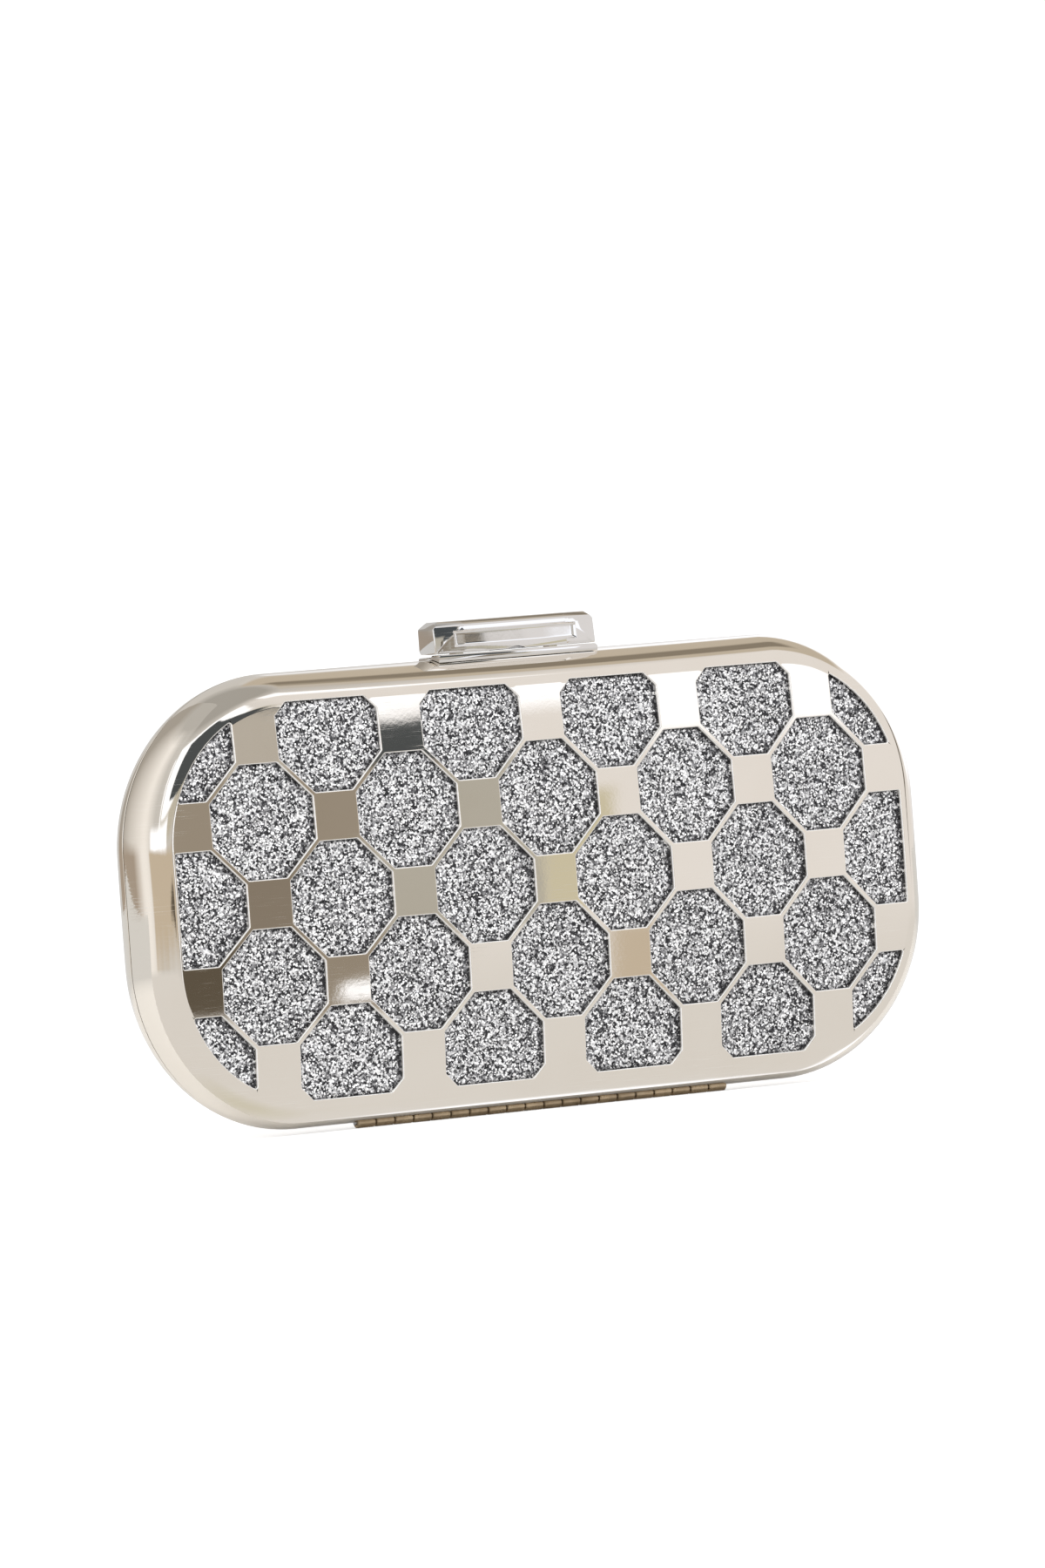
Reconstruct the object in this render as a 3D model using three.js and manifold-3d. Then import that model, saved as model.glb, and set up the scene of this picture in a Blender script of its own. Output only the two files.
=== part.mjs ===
// A hard-case evening bag: two domed and pierced metal shells that meet at a flat seam, glitter cloth
// behind their windows, a piano hinge along the bottom and a lifting bar clasp on top.
// Millimetres. X runs across the bag, the front faces -Y and Z is up. The origin is under the middle of
// the hinge, in the seam's plane.
import * as THREE from "three";
import { mergeVertices } from "three/addons/utils/BufferGeometryUtils.js";
import Module from "manifold-3d";

const wasm = await Module();
wasm.setup();

// Driving dimensions of the case
const halfWidth = 100;
const halfHeight = 49.25;
const cornerRadius = 37.3;
const halfDepth = 13.3; // seam to the middle of a dome
const domeCurveX = 0.00078; // the dome falls away by domeCurveX * x * x / 2
const domeCurveZ = 0.0021;
const rimWidth = 7.1; // the rolled rim, measured in from the outline
const rimSharpness = 2; // the rim's section is a superellipse: these two set its fullness
const rimPower = 0.6;
const seamGap = 0.15; // each shell stops this far from the seam's plane
const centreHeight = 50.5; // the case's middle above the ground

// Layers of one half, as offsets in from the shell's outer surface
const shellInside = 0.8;
const clothLayer = [1.0, 1.5];
const boardLayer = [1.7, 2.9];
const liningLayer = [3.1, 4.1];
const panelInset = 5.5; // cloth and board stop this far inside the outline
const liningEdge = 2.6; // the lining starts this far from the seam's plane
const bandInsets = [1.4, 3.2];
const bandDepths = [0.3, 1.7];

// Windows: octagons on a diagonal lattice, clipped by a rounded field
const latticeStep = 17.75;
const windowSize = 24.85;
const windowChamfer = 7.85;
const fieldHalfWidth = 92.65;
const fieldHalfHeight = 42.95;
const fieldRadius = 30.2;

// Hinge
const knuckleCount = 20;
const knucklePitch = 4.74;
const knuckleGap = 0.24;
const hingeHalf = (knuckleCount * knucklePitch) / 2;
const axisHeight = 1.2;
const pinBore = 0.65;
const pinRadius = 0.55;
const pinOverhang = 0.3;
const leafReach = 4.5; // the leaf plates lie inside the case, this far from the seam's plane
const leafBottom = 3.35;
const leafTop = 3.85;
const webSpan = [-1.2, -0.2]; // a web joins each knuckle to its plate, past the seam's plane
const webBottom = 2;
const notchDepth = 1.8; // the shells' lips are cut back for the knuckles
const notchTop = 3.1;
const notchOverhang = 0.6;
const bandOverhang = 1.2;

// Clasp: the lifting bar
const barLength = 40.8;
const barFront = -3.5;
const barRear = 3.8;
const barBottom = 100.9;
const barTop = 107.9;
const barEdge = 1.2; // long upper edges cut off at 45 degrees
const barEndCut = 1.8; // upper ends cut off
const barHeel = 0.8; // lower rear edge cut off, so the bar can swing up
const panelHalfLength = 15.2;
const panelBottom = 102.2;
const panelTop = 105.6;
const panelDepth = 0.5;
const notchRadius = 2.6; // finger notch under the front edge
const notchCentreZ = 99.5;
const notchReach = 0.6;

// Clasp: pin, ears and spring
const pivotY = 2.2;
const pivotZ = 102.2;
const claspPinRadius = 0.65;
const claspPinHalf = 15;
const claspPinBore = 0.75;
const barBoreHalf = 15.3;
const earX = 12;
const earHalfWidth = 1;
const earRadius = 1.3;
const earRoot = 0.4; // the ears start this far inside the bracket
const earSlotHalf = 1.3;
const earSlotFront = 0.6;
const earSlotTop = 103.9;
const springSlotHalf = 3.2;
const springSlotFront = 0.3;
const springSlotTop = 104.2;
const springHalf = 2.6;
const springOuter = 1.35;
const springInner = 0.95;
const legWidth = 0.4;
const lowLeg = { y: [pivotY, 4.4], z: [pivotZ - 1.3, pivotZ - 0.95] };
const highLeg = { y: [0.55, pivotY], z: [pivotZ + 0.98, pivotZ + 1.32] };

// Clasp: catch and bracket strips on the rims, given for the front half
const stripLength = 40.5;
const stripSeam = -0.3;
const stripBottom = 97;
const stripGap = 0.25; // between a strip and the rim under it
const catchTop = 100.7;
const catchEndCut = 0.5;
const catchOut = -4.3;
const catchFoot = -3.6;
const bracketTop = 100.3;
const bracketOut = -4.7;
const bracketFoot = -4.2;
const stripShoulder = 99.6;

// Clasp: spring tongue and its rivets
const tongueHalf = 6.3;
const tongueLeaf = { y: [-2.5, -0.6], z: [101.5, 101.9] };
const tongueToe = { y: [-2.5, -2.1], z: [100.85, 101.6] };
const tongueSlot = { half: 6.6, y: [-2.9, -0.3], top: 102.1 };
const rivetX = 4.5;
const rivetY = -1.2;
const rivetShank = { radius: 0.4, z: [101.2, 103.4] };
const rivetHead = { radius: 0.75, z: [101.0, 101.3] };
const rivetBore = { radius: 0.6, z: [101, 103.6] };

// Screws from inside the case up into the strips
const screwX = 14;
const screwY = 2.9;
const screwShank = { radius: 0.45, z: [97.4, 100.0] };
const screwHead = { radius: 0.95, z: [97.0, 97.6] };
const stripBore = { radius: 0.65, z: [95, 100.1] };
const shellBore = { radius: 0.7, z: [96, 101] };

const bag = new THREE.Group();
const gold = { color: 0xe6dccb, roughness: 0.12, metalness: 1 };
const silver = { color: 0xdedcd8, roughness: 0.15, metalness: 1 };
const steel = { color: 0xb9bbbe, roughness: 0.3, metalness: 1 };
const oldGold = { color: 0x9d8a66, roughness: 0.35, metalness: 1 };
const glitter = { color: 0xb4b4b6, roughness: 0.5, metalness: 0.4 };
const card = { color: 0x8c8477, roughness: 0.9, metalness: 0 };
const satin = { color: 0xd9cfbf, roughness: 0.45, metalness: 0 };

// Adds a shape to the bag as a named mesh. A mirrored one lies in the rear half.
function place(name, geometry, look, mirrored = false) {
  const mesh = new THREE.Mesh(geometry, new THREE.MeshStandardMaterial(look));
  mesh.name = name;
  mesh.scale.y = mirrored ? -1 : 1;
  bag.add(mesh);
  return mesh;
}

// three.js geometry to a manifold-3d solid and back
function solid(geometry) {
  const bare = geometry.index ? geometry.toNonIndexed() : geometry.clone();
  bare.deleteAttribute("normal");
  bare.deleteAttribute("uv");
  const merged = mergeVertices(bare, 1e-4);
  const vertProperties = new Float32Array(merged.attributes.position.array);
  const triVerts = new Uint32Array(merged.index.array);
  return new wasm.Manifold(new wasm.Mesh({ numProp: 3, vertProperties, triVerts }));
}

function shapeOf(made) {
  const mesh = made.getMesh();
  const geometry = new THREE.BufferGeometry();
  geometry.setAttribute("position", new THREE.BufferAttribute(mesh.vertProperties, 3));
  geometry.setIndex(new THREE.BufferAttribute(mesh.triVerts, 1));
  return geometry;
}

// Simple shapes, as solids, by their limits
function box([x0, x1], [y0, y1], [z0, z1]) {
  const geometry = new THREE.BoxGeometry(x1 - x0, y1 - y0, z1 - z0);
  geometry.translate((x0 + x1) / 2, (y0 + y1) / 2, (z0 + z1) / 2);
  return solid(geometry);
}

// A prism along X with two flats level, its flats at the given radius
function rodX(radius, [x0, x1], y, z, sides) {
  const corner = radius / Math.cos(Math.PI / sides);
  const geometry = new THREE.CylinderGeometry(corner, corner, x1 - x0, sides);
  geometry.rotateY(Math.PI / sides);
  geometry.rotateZ(Math.PI / 2);
  geometry.translate((x0 + x1) / 2, y, z);
  return solid(geometry);
}

function rodZ(radius, x, y, [z0, z1], sides) {
  const geometry = new THREE.CylinderGeometry(radius, radius, z1 - z0, sides);
  geometry.rotateX(Math.PI / 2);
  geometry.translate(x, y, (z0 + z1) / 2);
  return solid(geometry);
}

function rodY(radius, x, [y0, y1], z, sides) {
  const geometry = new THREE.CylinderGeometry(radius, radius, y1 - y0, sides);
  geometry.translate(x, (y0 + y1) / 2, z);
  return solid(geometry);
}

function shapeFrom(points) {
  return new THREE.Shape(points.map(([a, b]) => new THREE.Vector2(a, b)));
}

// A Y-Z outline drawn out along X, about the given middle
function drawnAlongX(points, length, middle = 0) {
  const geometry = new THREE.ExtrudeGeometry(shapeFrom(points), { depth: length, bevelEnabled: false });
  geometry.translate(0, 0, -length / 2);
  geometry.rotateY(Math.PI / 2);
  geometry.rotateX(Math.PI / 2);
  geometry.translate(middle, 0, 0);
  return solid(geometry);
}

// An X-Z outline drawn out along Y between two limits
function drawnAlongY(shape, [y0, y1], curveSegments = 8) {
  const depth = y1 - y0;
  const geometry = new THREE.ExtrudeGeometry(shape, { depth, bevelEnabled: false, curveSegments });
  geometry.rotateX(Math.PI / 2);
  geometry.translate(0, y1, 0);
  return solid(geometry);
}

// The case's surface. depthAt gives how far in front of the seam's plane the surface lies that runs
// "offset" inside the shell's outer one, at a point that is "inset" inside the outline.
function depthAt(offset, inset, x, z) {
  const across = (inset - offset) / (rimWidth - offset / 2);
  const rise = 1 - Math.min(Math.max(across, 0), 1);
  const roll = (1 - rise ** rimSharpness) ** rimPower;
  const dome = halfDepth - offset - (domeCurveX * x * x + domeCurveZ * z * z) / 2;
  return roll * dome;
}

// Points round the case's outline, moved in by "inset" and then scaled about the centre
function outlineRing(inset, scale = 1) {
  const radius = cornerRadius - inset;
  const straightX = halfWidth - cornerRadius;
  const straightZ = halfHeight - cornerRadius;
  const cornerSteps = 5;
  const points = [];
  for (let corner = 0; corner < 4; corner += 1) {
    const sideX = corner === 0 || corner === 3 ? 1 : -1;
    const sideZ = corner < 2 ? 1 : -1;
    for (let step = 0; step <= cornerSteps; step += 1) {
      const turn = ((corner + step / cornerSteps) * Math.PI) / 2;
      const x = sideX * straightX + radius * Math.cos(turn);
      const z = sideZ * straightZ + radius * Math.sin(turn);
      points.push([x, z]);
    }
    const steps = corner % 2 === 0 ? 6 : 2;
    const [fromX, fromZ] = points[points.length - 1];
    for (let step = 1; step < steps; step += 1) {
      const part = step / steps;
      const toX = corner % 2 === 0 ? -fromX : fromX;
      const toZ = corner % 2 === 0 ? fromZ : -fromZ;
      points.push([fromX + (toX - fromX) * part, fromZ + (toZ - fromZ) * part]);
    }
  }
  return points.map(([x, z]) => [x * scale, z * scale]);
}

// The rings of one surface, from the centre out to "edge". The last ring lies at least "least" deep.
function surfaceRings(offset, edge, shares, least) {
  const end = rimWidth + offset / 2;
  const insets = [...shares.map((share) => edge + (end - edge) * share), end];
  const rings = faceScales.map((scale) => [end, outlineRing(end, scale)]);
  for (const inset of insets.reverse()) rings.push([inset, outlineRing(inset)]);
  return rings.map(([inset, points]) =>
    points.map(([x, z]) => {
      const depth = Math.max(depthAt(offset, inset, x, z), least);
      return new THREE.Vector3(x, -depth, z + centreHeight);
    }),
  );
}

// A closed skin over rings of equal count, joined in order. With two middle points the ends are closed
// on them, and without them the last ring meets the first.
function loft(rings, middles) {
  const count = rings[0].length;
  const points = rings.flat();
  const faces = [];
  const bands = middles ? rings.length - 1 : rings.length;
  for (let band = 0; band < bands; band += 1) {
    const here = band * count;
    const next = ((band + 1) % rings.length) * count;
    for (let i = 0; i < count; i += 1) {
      const j = (i + 1) % count;
      faces.push(here + i, next + j, here + j, here + i, next + i, next + j);
    }
  }
  if (middles) {
    const first = points.push(...middles) - 2;
    const last = (rings.length - 1) * count;
    for (let i = 0; i < count; i += 1) {
      const j = (i + 1) % count;
      faces.push(first, i, j, first + 1, last + j, last + i);
    }
  }
  const geometry = new THREE.BufferGeometry().setFromPoints(points);
  geometry.setIndex(faces);
  return geometry;
}

function middleAt(depth) {
  return new THREE.Vector3(0, -depth, centreHeight);
}

// Where the rings lie: shares of the way over the rolled rim, and scales of the flat's outline
const rollShares = [0, 0.05, 0.18, 0.42, 0.7];
const liningShares = [0, 0.07, 0.25, 0.5, 0.72];
const panelShares = [0, 0.45];
const faceScales = [0.33, 0.66];
const past = 1; // how far cutters run past what they cut

// A layer between two offsets of the case's surface
function layer([outer, inner], edges, shares, least) {
  const front = surfaceRings(outer, edges[0], shares, least);
  const back = surfaceRings(inner, edges[1], shares, least);
  const middles = [middleAt(halfDepth - outer), middleAt(halfDepth - inner)];
  return solid(loft([...front, ...back.reverse()], middles));
}

// Everything inside the case's surface moved out by "gap", past the seam, to cut what sits on it
function caseBody(gap) {
  const front = surfaceRings(-gap, -gap, rollShares, -1);
  const edge = front[front.length - 1];
  const behind = edge.map((point) => new THREE.Vector3(point.x, 2 * past, point.z));
  return solid(loft([...front, behind], [middleAt(halfDepth + gap), middleAt(-2 * past)]));
}

function octagon(x, z) {
  const side = windowSize / 2;
  const cut = side - windowChamfer;
  return shapeFrom([
    [x + side, z + cut],
    [x + cut, z + side],
    [x - cut, z + side],
    [x - side, z + cut],
    [x - side, z - cut],
    [x - cut, z - side],
    [x + cut, z - side],
    [x + side, z - cut],
  ]);
}

function fieldShape() {
  const x = fieldHalfWidth - fieldRadius;
  const z = fieldHalfHeight - fieldRadius;
  const shape = new THREE.Shape();
  shape.absarc(x, centreHeight + z, fieldRadius, 0, Math.PI / 2, false);
  shape.absarc(-x, centreHeight + z, fieldRadius, Math.PI / 2, Math.PI, false);
  shape.absarc(-x, centreHeight - z, fieldRadius, Math.PI, Math.PI * 1.5, false);
  shape.absarc(x, centreHeight - z, fieldRadius, Math.PI * 1.5, Math.PI * 2, false);
  shape.closePath();
  return shape;
}

// All the windows as one cutter
function windowCutter() {
  const reach = [-halfDepth - past, -seamGap];
  const columns = 5;
  const rows = 2;
  let cutter = null;
  for (let column = -columns; column <= columns; column += 1) {
    for (let row = -rows; row <= rows; row += 1) {
      if ((column + row) % 2 === 0) continue;
      const shape = octagon(column * latticeStep, centreHeight + row * latticeStep);
      const window = drawnAlongY(shape, reach);
      cutter = cutter ? cutter.add(window) : window;
    }
  }
  return cutter.intersect(drawnAlongY(fieldShape(), reach, 6));
}

// One shell: pressed sheet with a rolled rim, windows, a notch for the hinge and two screw holes
function shellGeometry() {
  let shell = layer([0, shellInside], [0, shellInside], rollShares, seamGap);
  shell = shell.subtract(windowCutter());
  const notchHalf = hingeHalf + notchOverhang;
  shell = shell.subtract(box([-notchHalf, notchHalf], [-notchDepth, past], [-past, notchTop]));
  return shapeOf(bored(shell, shellBore));
}

// The flat band just inside the mouth, open at the hinge
function bandGeometry() {
  const at = (inset, depth) =>
    outlineRing(inset).map(([x, z]) => new THREE.Vector3(x, -depth, z + centreHeight));
  const [outer, inner] = bandInsets;
  const [near, far] = bandDepths;
  const rings = [at(outer, near), at(inner, near), at(inner, far), at(outer, far)];
  const gap = hingeHalf + bandOverhang;
  const hingeSpace = box([-gap, gap], [-far - past, past], [-past, inner + 4 * past]);
  return shapeOf(solid(loft(rings)).subtract(hingeSpace));
}

// The lining tray: floor and sloping walls, stopping behind the band
function liningGeometry() {
  const tray = layer(liningLayer, liningLayer, liningShares, 0);
  const mouth = box([-halfWidth, halfWidth], [-liningEdge, past], [-past, centreHeight + halfHeight + past]);
  return shapeOf(tray.subtract(mouth));
}

function panelGeometry(offsets) {
  return shapeOf(layer(offsets, [panelInset, panelInset], panelShares, 0));
}

// The section of a knuckle, folded from strip: flat underneath, with its edges rounded off
const knuckleSection = [
  [-1.0, 0],
  [1.0, 0],
  [1.3, 0.35],
  [1.3, 1.9],
  [0.9, 2.4],
  [-0.9, 2.4],
  [-1.3, 1.9],
  [-1.3, 0.35],
];

// Every other knuckle with its web, joined by the leaf plate, for the front half
function leafGeometry(first) {
  const half = hingeHalf - knuckleGap / 2;
  let leaf = box([-half, half], [-leafReach, webSpan[1]], [leafBottom, leafTop]);
  for (let i = first; i < knuckleCount; i += 2) {
    const x0 = -hingeHalf + i * knucklePitch + knuckleGap / 2;
    const x1 = x0 + knucklePitch - knuckleGap;
    leaf = leaf.add(drawnAlongX(knuckleSection, x1 - x0, (x0 + x1) / 2));
    leaf = leaf.add(box([x0, x1], webSpan, [webBottom, (leafBottom + leafTop) / 2]));
  }
  return shapeOf(leaf.subtract(rodX(pinBore, [-halfWidth, halfWidth], 0, axisHeight, 8)));
}

function hingePinGeometry() {
  const end = hingeHalf + pinOverhang;
  return shapeOf(rodX(pinRadius, [-end, end], 0, axisHeight, 8));
}

// A headed pin, standing along Z
function headedPin(shank, head, x, y) {
  const body = rodZ(shank.radius, x, y, shank.z, 8);
  return shapeOf(body.add(rodZ(head.radius, x, y, head.z, 10)));
}

// The two screw holes, through a piece of the front half
function bored(piece, { radius, z }) {
  const holes = [-screwX, screwX].map((x) => rodZ(radius, x, -screwY, z, 8));
  return holes.reduce((cut, hole) => cut.subtract(hole), piece);
}

// An X-Z outline with its upper corners cut off
function cutCornerShape(halfLength, low, high, cut) {
  return shapeFrom([
    [-halfLength, low],
    [halfLength, low],
    [halfLength, high - cut],
    [halfLength - cut, high],
    [-halfLength + cut, high],
    [-halfLength, high - cut],
  ]);
}

// A strip along the front shell's rim, cut underneath to sit on it
function stripAlongRim(top, out, foot) {
  const section = [
    [stripSeam, stripBottom],
    [stripSeam, top],
    [out, top],
    [out, stripShoulder],
    [foot, stripBottom],
  ];
  return drawnAlongX(section, stripLength).subtract(caseBody(stripGap));
}

function catchGeometry() {
  const ends = cutCornerShape(stripLength / 2, stripBottom, catchTop, catchEndCut);
  const strip = stripAlongRim(catchTop, catchOut, catchFoot);
  return shapeOf(bored(strip.intersect(drawnAlongY(ends, [catchOut - past, past])), stripBore));
}

// The bracket on the rear shell's rim: a strip with two ears for the clasp's pin. Drawn for the front
// half and mirrored.
function bracketGeometry() {
  let bracket = bored(stripAlongRim(bracketTop, bracketOut, bracketFoot), stripBore);
  for (const x of [-earX, earX]) {
    const thick = [x - earHalfWidth, x + earHalfWidth];
    const deep = [-pivotY - earRadius, -pivotY + earRadius];
    bracket = bracket.add(box(thick, deep, [bracketTop - earRoot, pivotZ]));
    bracket = bracket.add(rodX(earRadius, thick, -pivotY, pivotZ, 16));
  }
  return shapeOf(bracket.subtract(rodX(claspPinBore, [-barLength, barLength], -pivotY, pivotZ, 8)));
}

// The lifting bar: a block with cut edges, a sunk front panel, a finger notch, and slots underneath for
// the ears, the spring and the tongue
function barGeometry() {
  const section = [
    [barFront, barBottom],
    [barRear - barHeel, barBottom],
    [barRear, barBottom + barHeel],
    [barRear, barTop - barEdge],
    [barRear - barEdge, barTop],
    [barFront + barEdge, barTop],
    [barFront, barTop - barEdge],
  ];
  const ends = cutCornerShape(barLength / 2, barBottom, barTop, barEndCut);
  const front = barFront - past;
  const under = barBottom - past;
  let bar = drawnAlongX(section, barLength).intersect(drawnAlongY(ends, [front, barRear + past]));
  const panelSpan = [front, barFront + panelDepth];
  bar = bar.subtract(box([-panelHalfLength, panelHalfLength], panelSpan, [panelBottom, panelTop]));
  bar = bar.subtract(rodY(notchRadius, 0, [front, barFront + notchReach], notchCentreZ, 16));
  for (const x of [-earX, earX]) {
    const slot = [x - earSlotHalf, x + earSlotHalf];
    bar = bar.subtract(box(slot, [earSlotFront, barRear + past], [under, earSlotTop]));
  }
  const springSlot = [-springSlotHalf, springSlotHalf];
  bar = bar.subtract(box(springSlot, [springSlotFront, barRear + past], [under, springSlotTop]));
  bar = bar.subtract(box([-tongueSlot.half, tongueSlot.half], tongueSlot.y, [under, tongueSlot.top]));
  for (const x of [-rivetX, rivetX]) {
    bar = bar.subtract(rodZ(rivetBore.radius, x, rivetY, rivetBore.z, 8));
  }
  return shapeOf(bar.subtract(rodX(claspPinBore, [-barBoreHalf, barBoreHalf], pivotY, pivotZ, 8)));
}

// The spring tongue under the bar, whose toe hangs just above the catch strip
function tongueGeometry() {
  const along = [-tongueHalf, tongueHalf];
  let tongue = box(along, tongueLeaf.y, tongueLeaf.z).add(box(along, tongueToe.y, tongueToe.z));
  for (const x of [-rivetX, rivetX]) {
    tongue = tongue.subtract(rodZ(rivetBore.radius, x, rivetY, rivetBore.z, 8));
  }
  return shapeOf(tongue);
}

// A torsion spring on the pin: its coil as a ring, with one leg on the bracket and one in the bar
function springGeometry() {
  const coil = rodX(springOuter, [-springHalf, springHalf], pivotY, pivotZ, 14);
  const hollow = rodX(springInner, [-springHalf - past, springHalf + past], pivotY, pivotZ, 10);
  const leftLeg = box([-springHalf, -springHalf + legWidth], lowLeg.y, lowLeg.z);
  const rightLeg = box([springHalf - legWidth, springHalf], highLeg.y, highLeg.z);
  return shapeOf(coil.subtract(hollow).add(leftLeg).add(rightLeg));
}

function claspPinGeometry() {
  return shapeOf(rodX(claspPinRadius, [-claspPinHalf, claspPinHalf], pivotY, pivotZ, 8));
}

const shell = shellGeometry();
const band = bandGeometry();
const cloth = panelGeometry(clothLayer);
const board = panelGeometry(boardLayer);
const lining = liningGeometry();

for (const half of ["front", "rear"]) {
  const mirrored = half === "rear";
  place(`${half}_shell`, shell, gold, mirrored);
  place(`${half}_glitter_cloth`, cloth, glitter, mirrored);
  place(`${half}_backing_board`, board, card, mirrored);
  place(`${half}_lining`, lining, satin, mirrored);
  place(`${half}_mouth_band`, band, gold, mirrored);
  place(`${half}_hinge_leaf`, leafGeometry(mirrored ? 1 : 0), oldGold, mirrored);
  const leftScrew = headedPin(screwShank, screwHead, -screwX, -screwY);
  const rightScrew = headedPin(screwShank, screwHead, screwX, -screwY);
  place(`${half}_clasp_screw_left`, leftScrew, steel, mirrored);
  place(`${half}_clasp_screw_right`, rightScrew, steel, mirrored);
}
place("hinge_pin", hingePinGeometry(), steel);
place("clasp_catch", catchGeometry(), silver);
place("clasp_bracket", bracketGeometry(), silver, true);
place("clasp_pin", claspPinGeometry(), steel);
place("clasp_spring", springGeometry(), steel);
place("clasp_bar", barGeometry(), silver);
place("clasp_tongue", tongueGeometry(), steel);
place("clasp_rivet_left", headedPin(rivetShank, rivetHead, -rivetX, rivetY), steel);
place("clasp_rivet_right", headedPin(rivetShank, rivetHead, rivetX, rivetY), steel);

export default bag;
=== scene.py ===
import math

import bmesh
import bpy
import numpy as np
from mathutils import Matrix, Vector
from mathutils.geometry import delaunay_2d_cdt


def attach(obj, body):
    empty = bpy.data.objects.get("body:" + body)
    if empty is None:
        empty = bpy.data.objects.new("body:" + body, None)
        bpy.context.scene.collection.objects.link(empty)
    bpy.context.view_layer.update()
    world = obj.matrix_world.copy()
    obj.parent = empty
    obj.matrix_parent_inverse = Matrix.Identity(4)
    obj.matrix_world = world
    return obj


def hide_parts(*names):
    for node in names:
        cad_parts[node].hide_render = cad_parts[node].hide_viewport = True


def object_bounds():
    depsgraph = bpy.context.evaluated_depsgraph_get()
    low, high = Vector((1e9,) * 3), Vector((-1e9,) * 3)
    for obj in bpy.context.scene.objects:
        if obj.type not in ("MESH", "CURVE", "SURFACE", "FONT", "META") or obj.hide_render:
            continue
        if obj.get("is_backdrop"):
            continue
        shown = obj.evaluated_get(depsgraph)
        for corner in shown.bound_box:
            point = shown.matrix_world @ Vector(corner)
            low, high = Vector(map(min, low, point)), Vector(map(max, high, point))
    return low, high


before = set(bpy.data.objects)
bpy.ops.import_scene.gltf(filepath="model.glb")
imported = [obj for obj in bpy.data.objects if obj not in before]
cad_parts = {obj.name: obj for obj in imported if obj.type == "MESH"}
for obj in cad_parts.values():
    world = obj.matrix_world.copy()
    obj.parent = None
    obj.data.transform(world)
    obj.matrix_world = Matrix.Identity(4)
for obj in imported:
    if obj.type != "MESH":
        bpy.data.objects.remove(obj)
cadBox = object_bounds()
mm = 0.001
scene = bpy.context.scene
halves = {"front": "front_half", "rear": "rear_half"}

# ---- mesh helpers: points in mm, x across, z up from the middle of the case, y negative to the front


def unit(vectors):
    vectors = np.asarray(vectors, float)
    return vectors / np.maximum(np.linalg.norm(vectors, axis=-1, keepdims=True), 1e-12)


def startMesh():
    return {"points": [], "faces": [], "normals": []}


def addPoints(made, points):
    first = len(made["points"])
    made["points"].extend([tuple(p) for p in np.asarray(points, float)])
    return np.arange(first, first + len(points))


def addBand(made, lower, upper, lowerNormals, upperNormals, closed=True):
    # quads from one ring to the next, facing out when the path runs inside, lip, outside
    count = len(lower)
    for i in range(count if closed else count - 1):
        j = (i + 1) % count
        made["faces"].append((lower[i], lower[j], upper[j], upper[i]))
        made["normals"].extend([lowerNormals[i], lowerNormals[j], upperNormals[j], upperNormals[i]])


def toObject(made, name, mirrored=False, smooth=True, heightOfOrigin=0.0):
    points = np.array(made["points"], float) + [0, 0, heightOfOrigin]
    faces = [tuple(int(i) for i in f) for f in made["faces"]]
    normals = np.array(made["normals"], float) if made["normals"] else None
    if mirrored:
        points[:, 1] *= -1
        if normals is not None:
            normals[:, 1] *= -1
            at = 0
            turned = []
            for f in faces:
                turned.append(normals[at:at + len(f)][::-1])
                at += len(f)
            normals = np.concatenate(turned)
        faces = [f[::-1] for f in faces]
    mesh = bpy.data.meshes.new(name)
    mesh.from_pydata((points * mm).tolist(), [], faces)
    mesh.update()
    if smooth:
        mesh.polygons.foreach_set("use_smooth", [True] * len(faces))
    if normals is not None:
        mesh.normals_split_custom_set(unit(normals).tolist())
    piece = bpy.data.objects.new(name, mesh)
    scene.collection.objects.link(piece)
    return piece


def applied(piece):
    # live modifiers become plain mesh
    evaluated = piece.evaluated_get(bpy.context.evaluated_depsgraph_get())
    mesh = bpy.data.meshes.new_from_object(evaluated)
    piece.modifiers.clear()
    old = piece.data
    piece.data = mesh
    mesh.name = piece.name
    bpy.data.meshes.remove(old)
    return piece


def putOn(piece, body, material, slot, *nodes):
    piece.data.materials.clear()
    piece.data.materials.append(material)
    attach(piece, body)
    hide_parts(*nodes)
    return piece


# ---- material helpers


def newMaterial(name):
    material = bpy.data.materials.new(name)
    material.use_nodes = True
    tree = material.node_tree
    tree.nodes.clear()
    output = tree.nodes.new("ShaderNodeOutputMaterial")
    shader = tree.nodes.new("ShaderNodeBsdfPrincipled")
    tree.links.new(shader.outputs[0], output.inputs[0])
    return material, tree, shader


def node(tree, kind, settings=None, **values):
    made = tree.nodes.new(kind)
    for name, value in (settings or {}).items():
        setattr(made, name, value)
    for name, value in values.items():
        socket = made.inputs[int(name[1:])] if name[0] == "i" and name[1:].isdigit() else made.inputs[name]
        if isinstance(value, bpy.types.NodeSocket):
            tree.links.new(value, socket)
        else:
            socket.default_value = value
    return made


def maths(tree, operation, a, b=None, c=None, clamp=False):
    made = tree.nodes.new("ShaderNodeMath")
    made.operation = operation
    made.use_clamp = clamp
    for index, value in enumerate((a, b, c)):
        if value is None:
            continue
        if isinstance(value, bpy.types.NodeSocket):
            tree.links.new(value, made.inputs[index])
        else:
            made.inputs[index].default_value = value
    return made.outputs[0]


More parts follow.
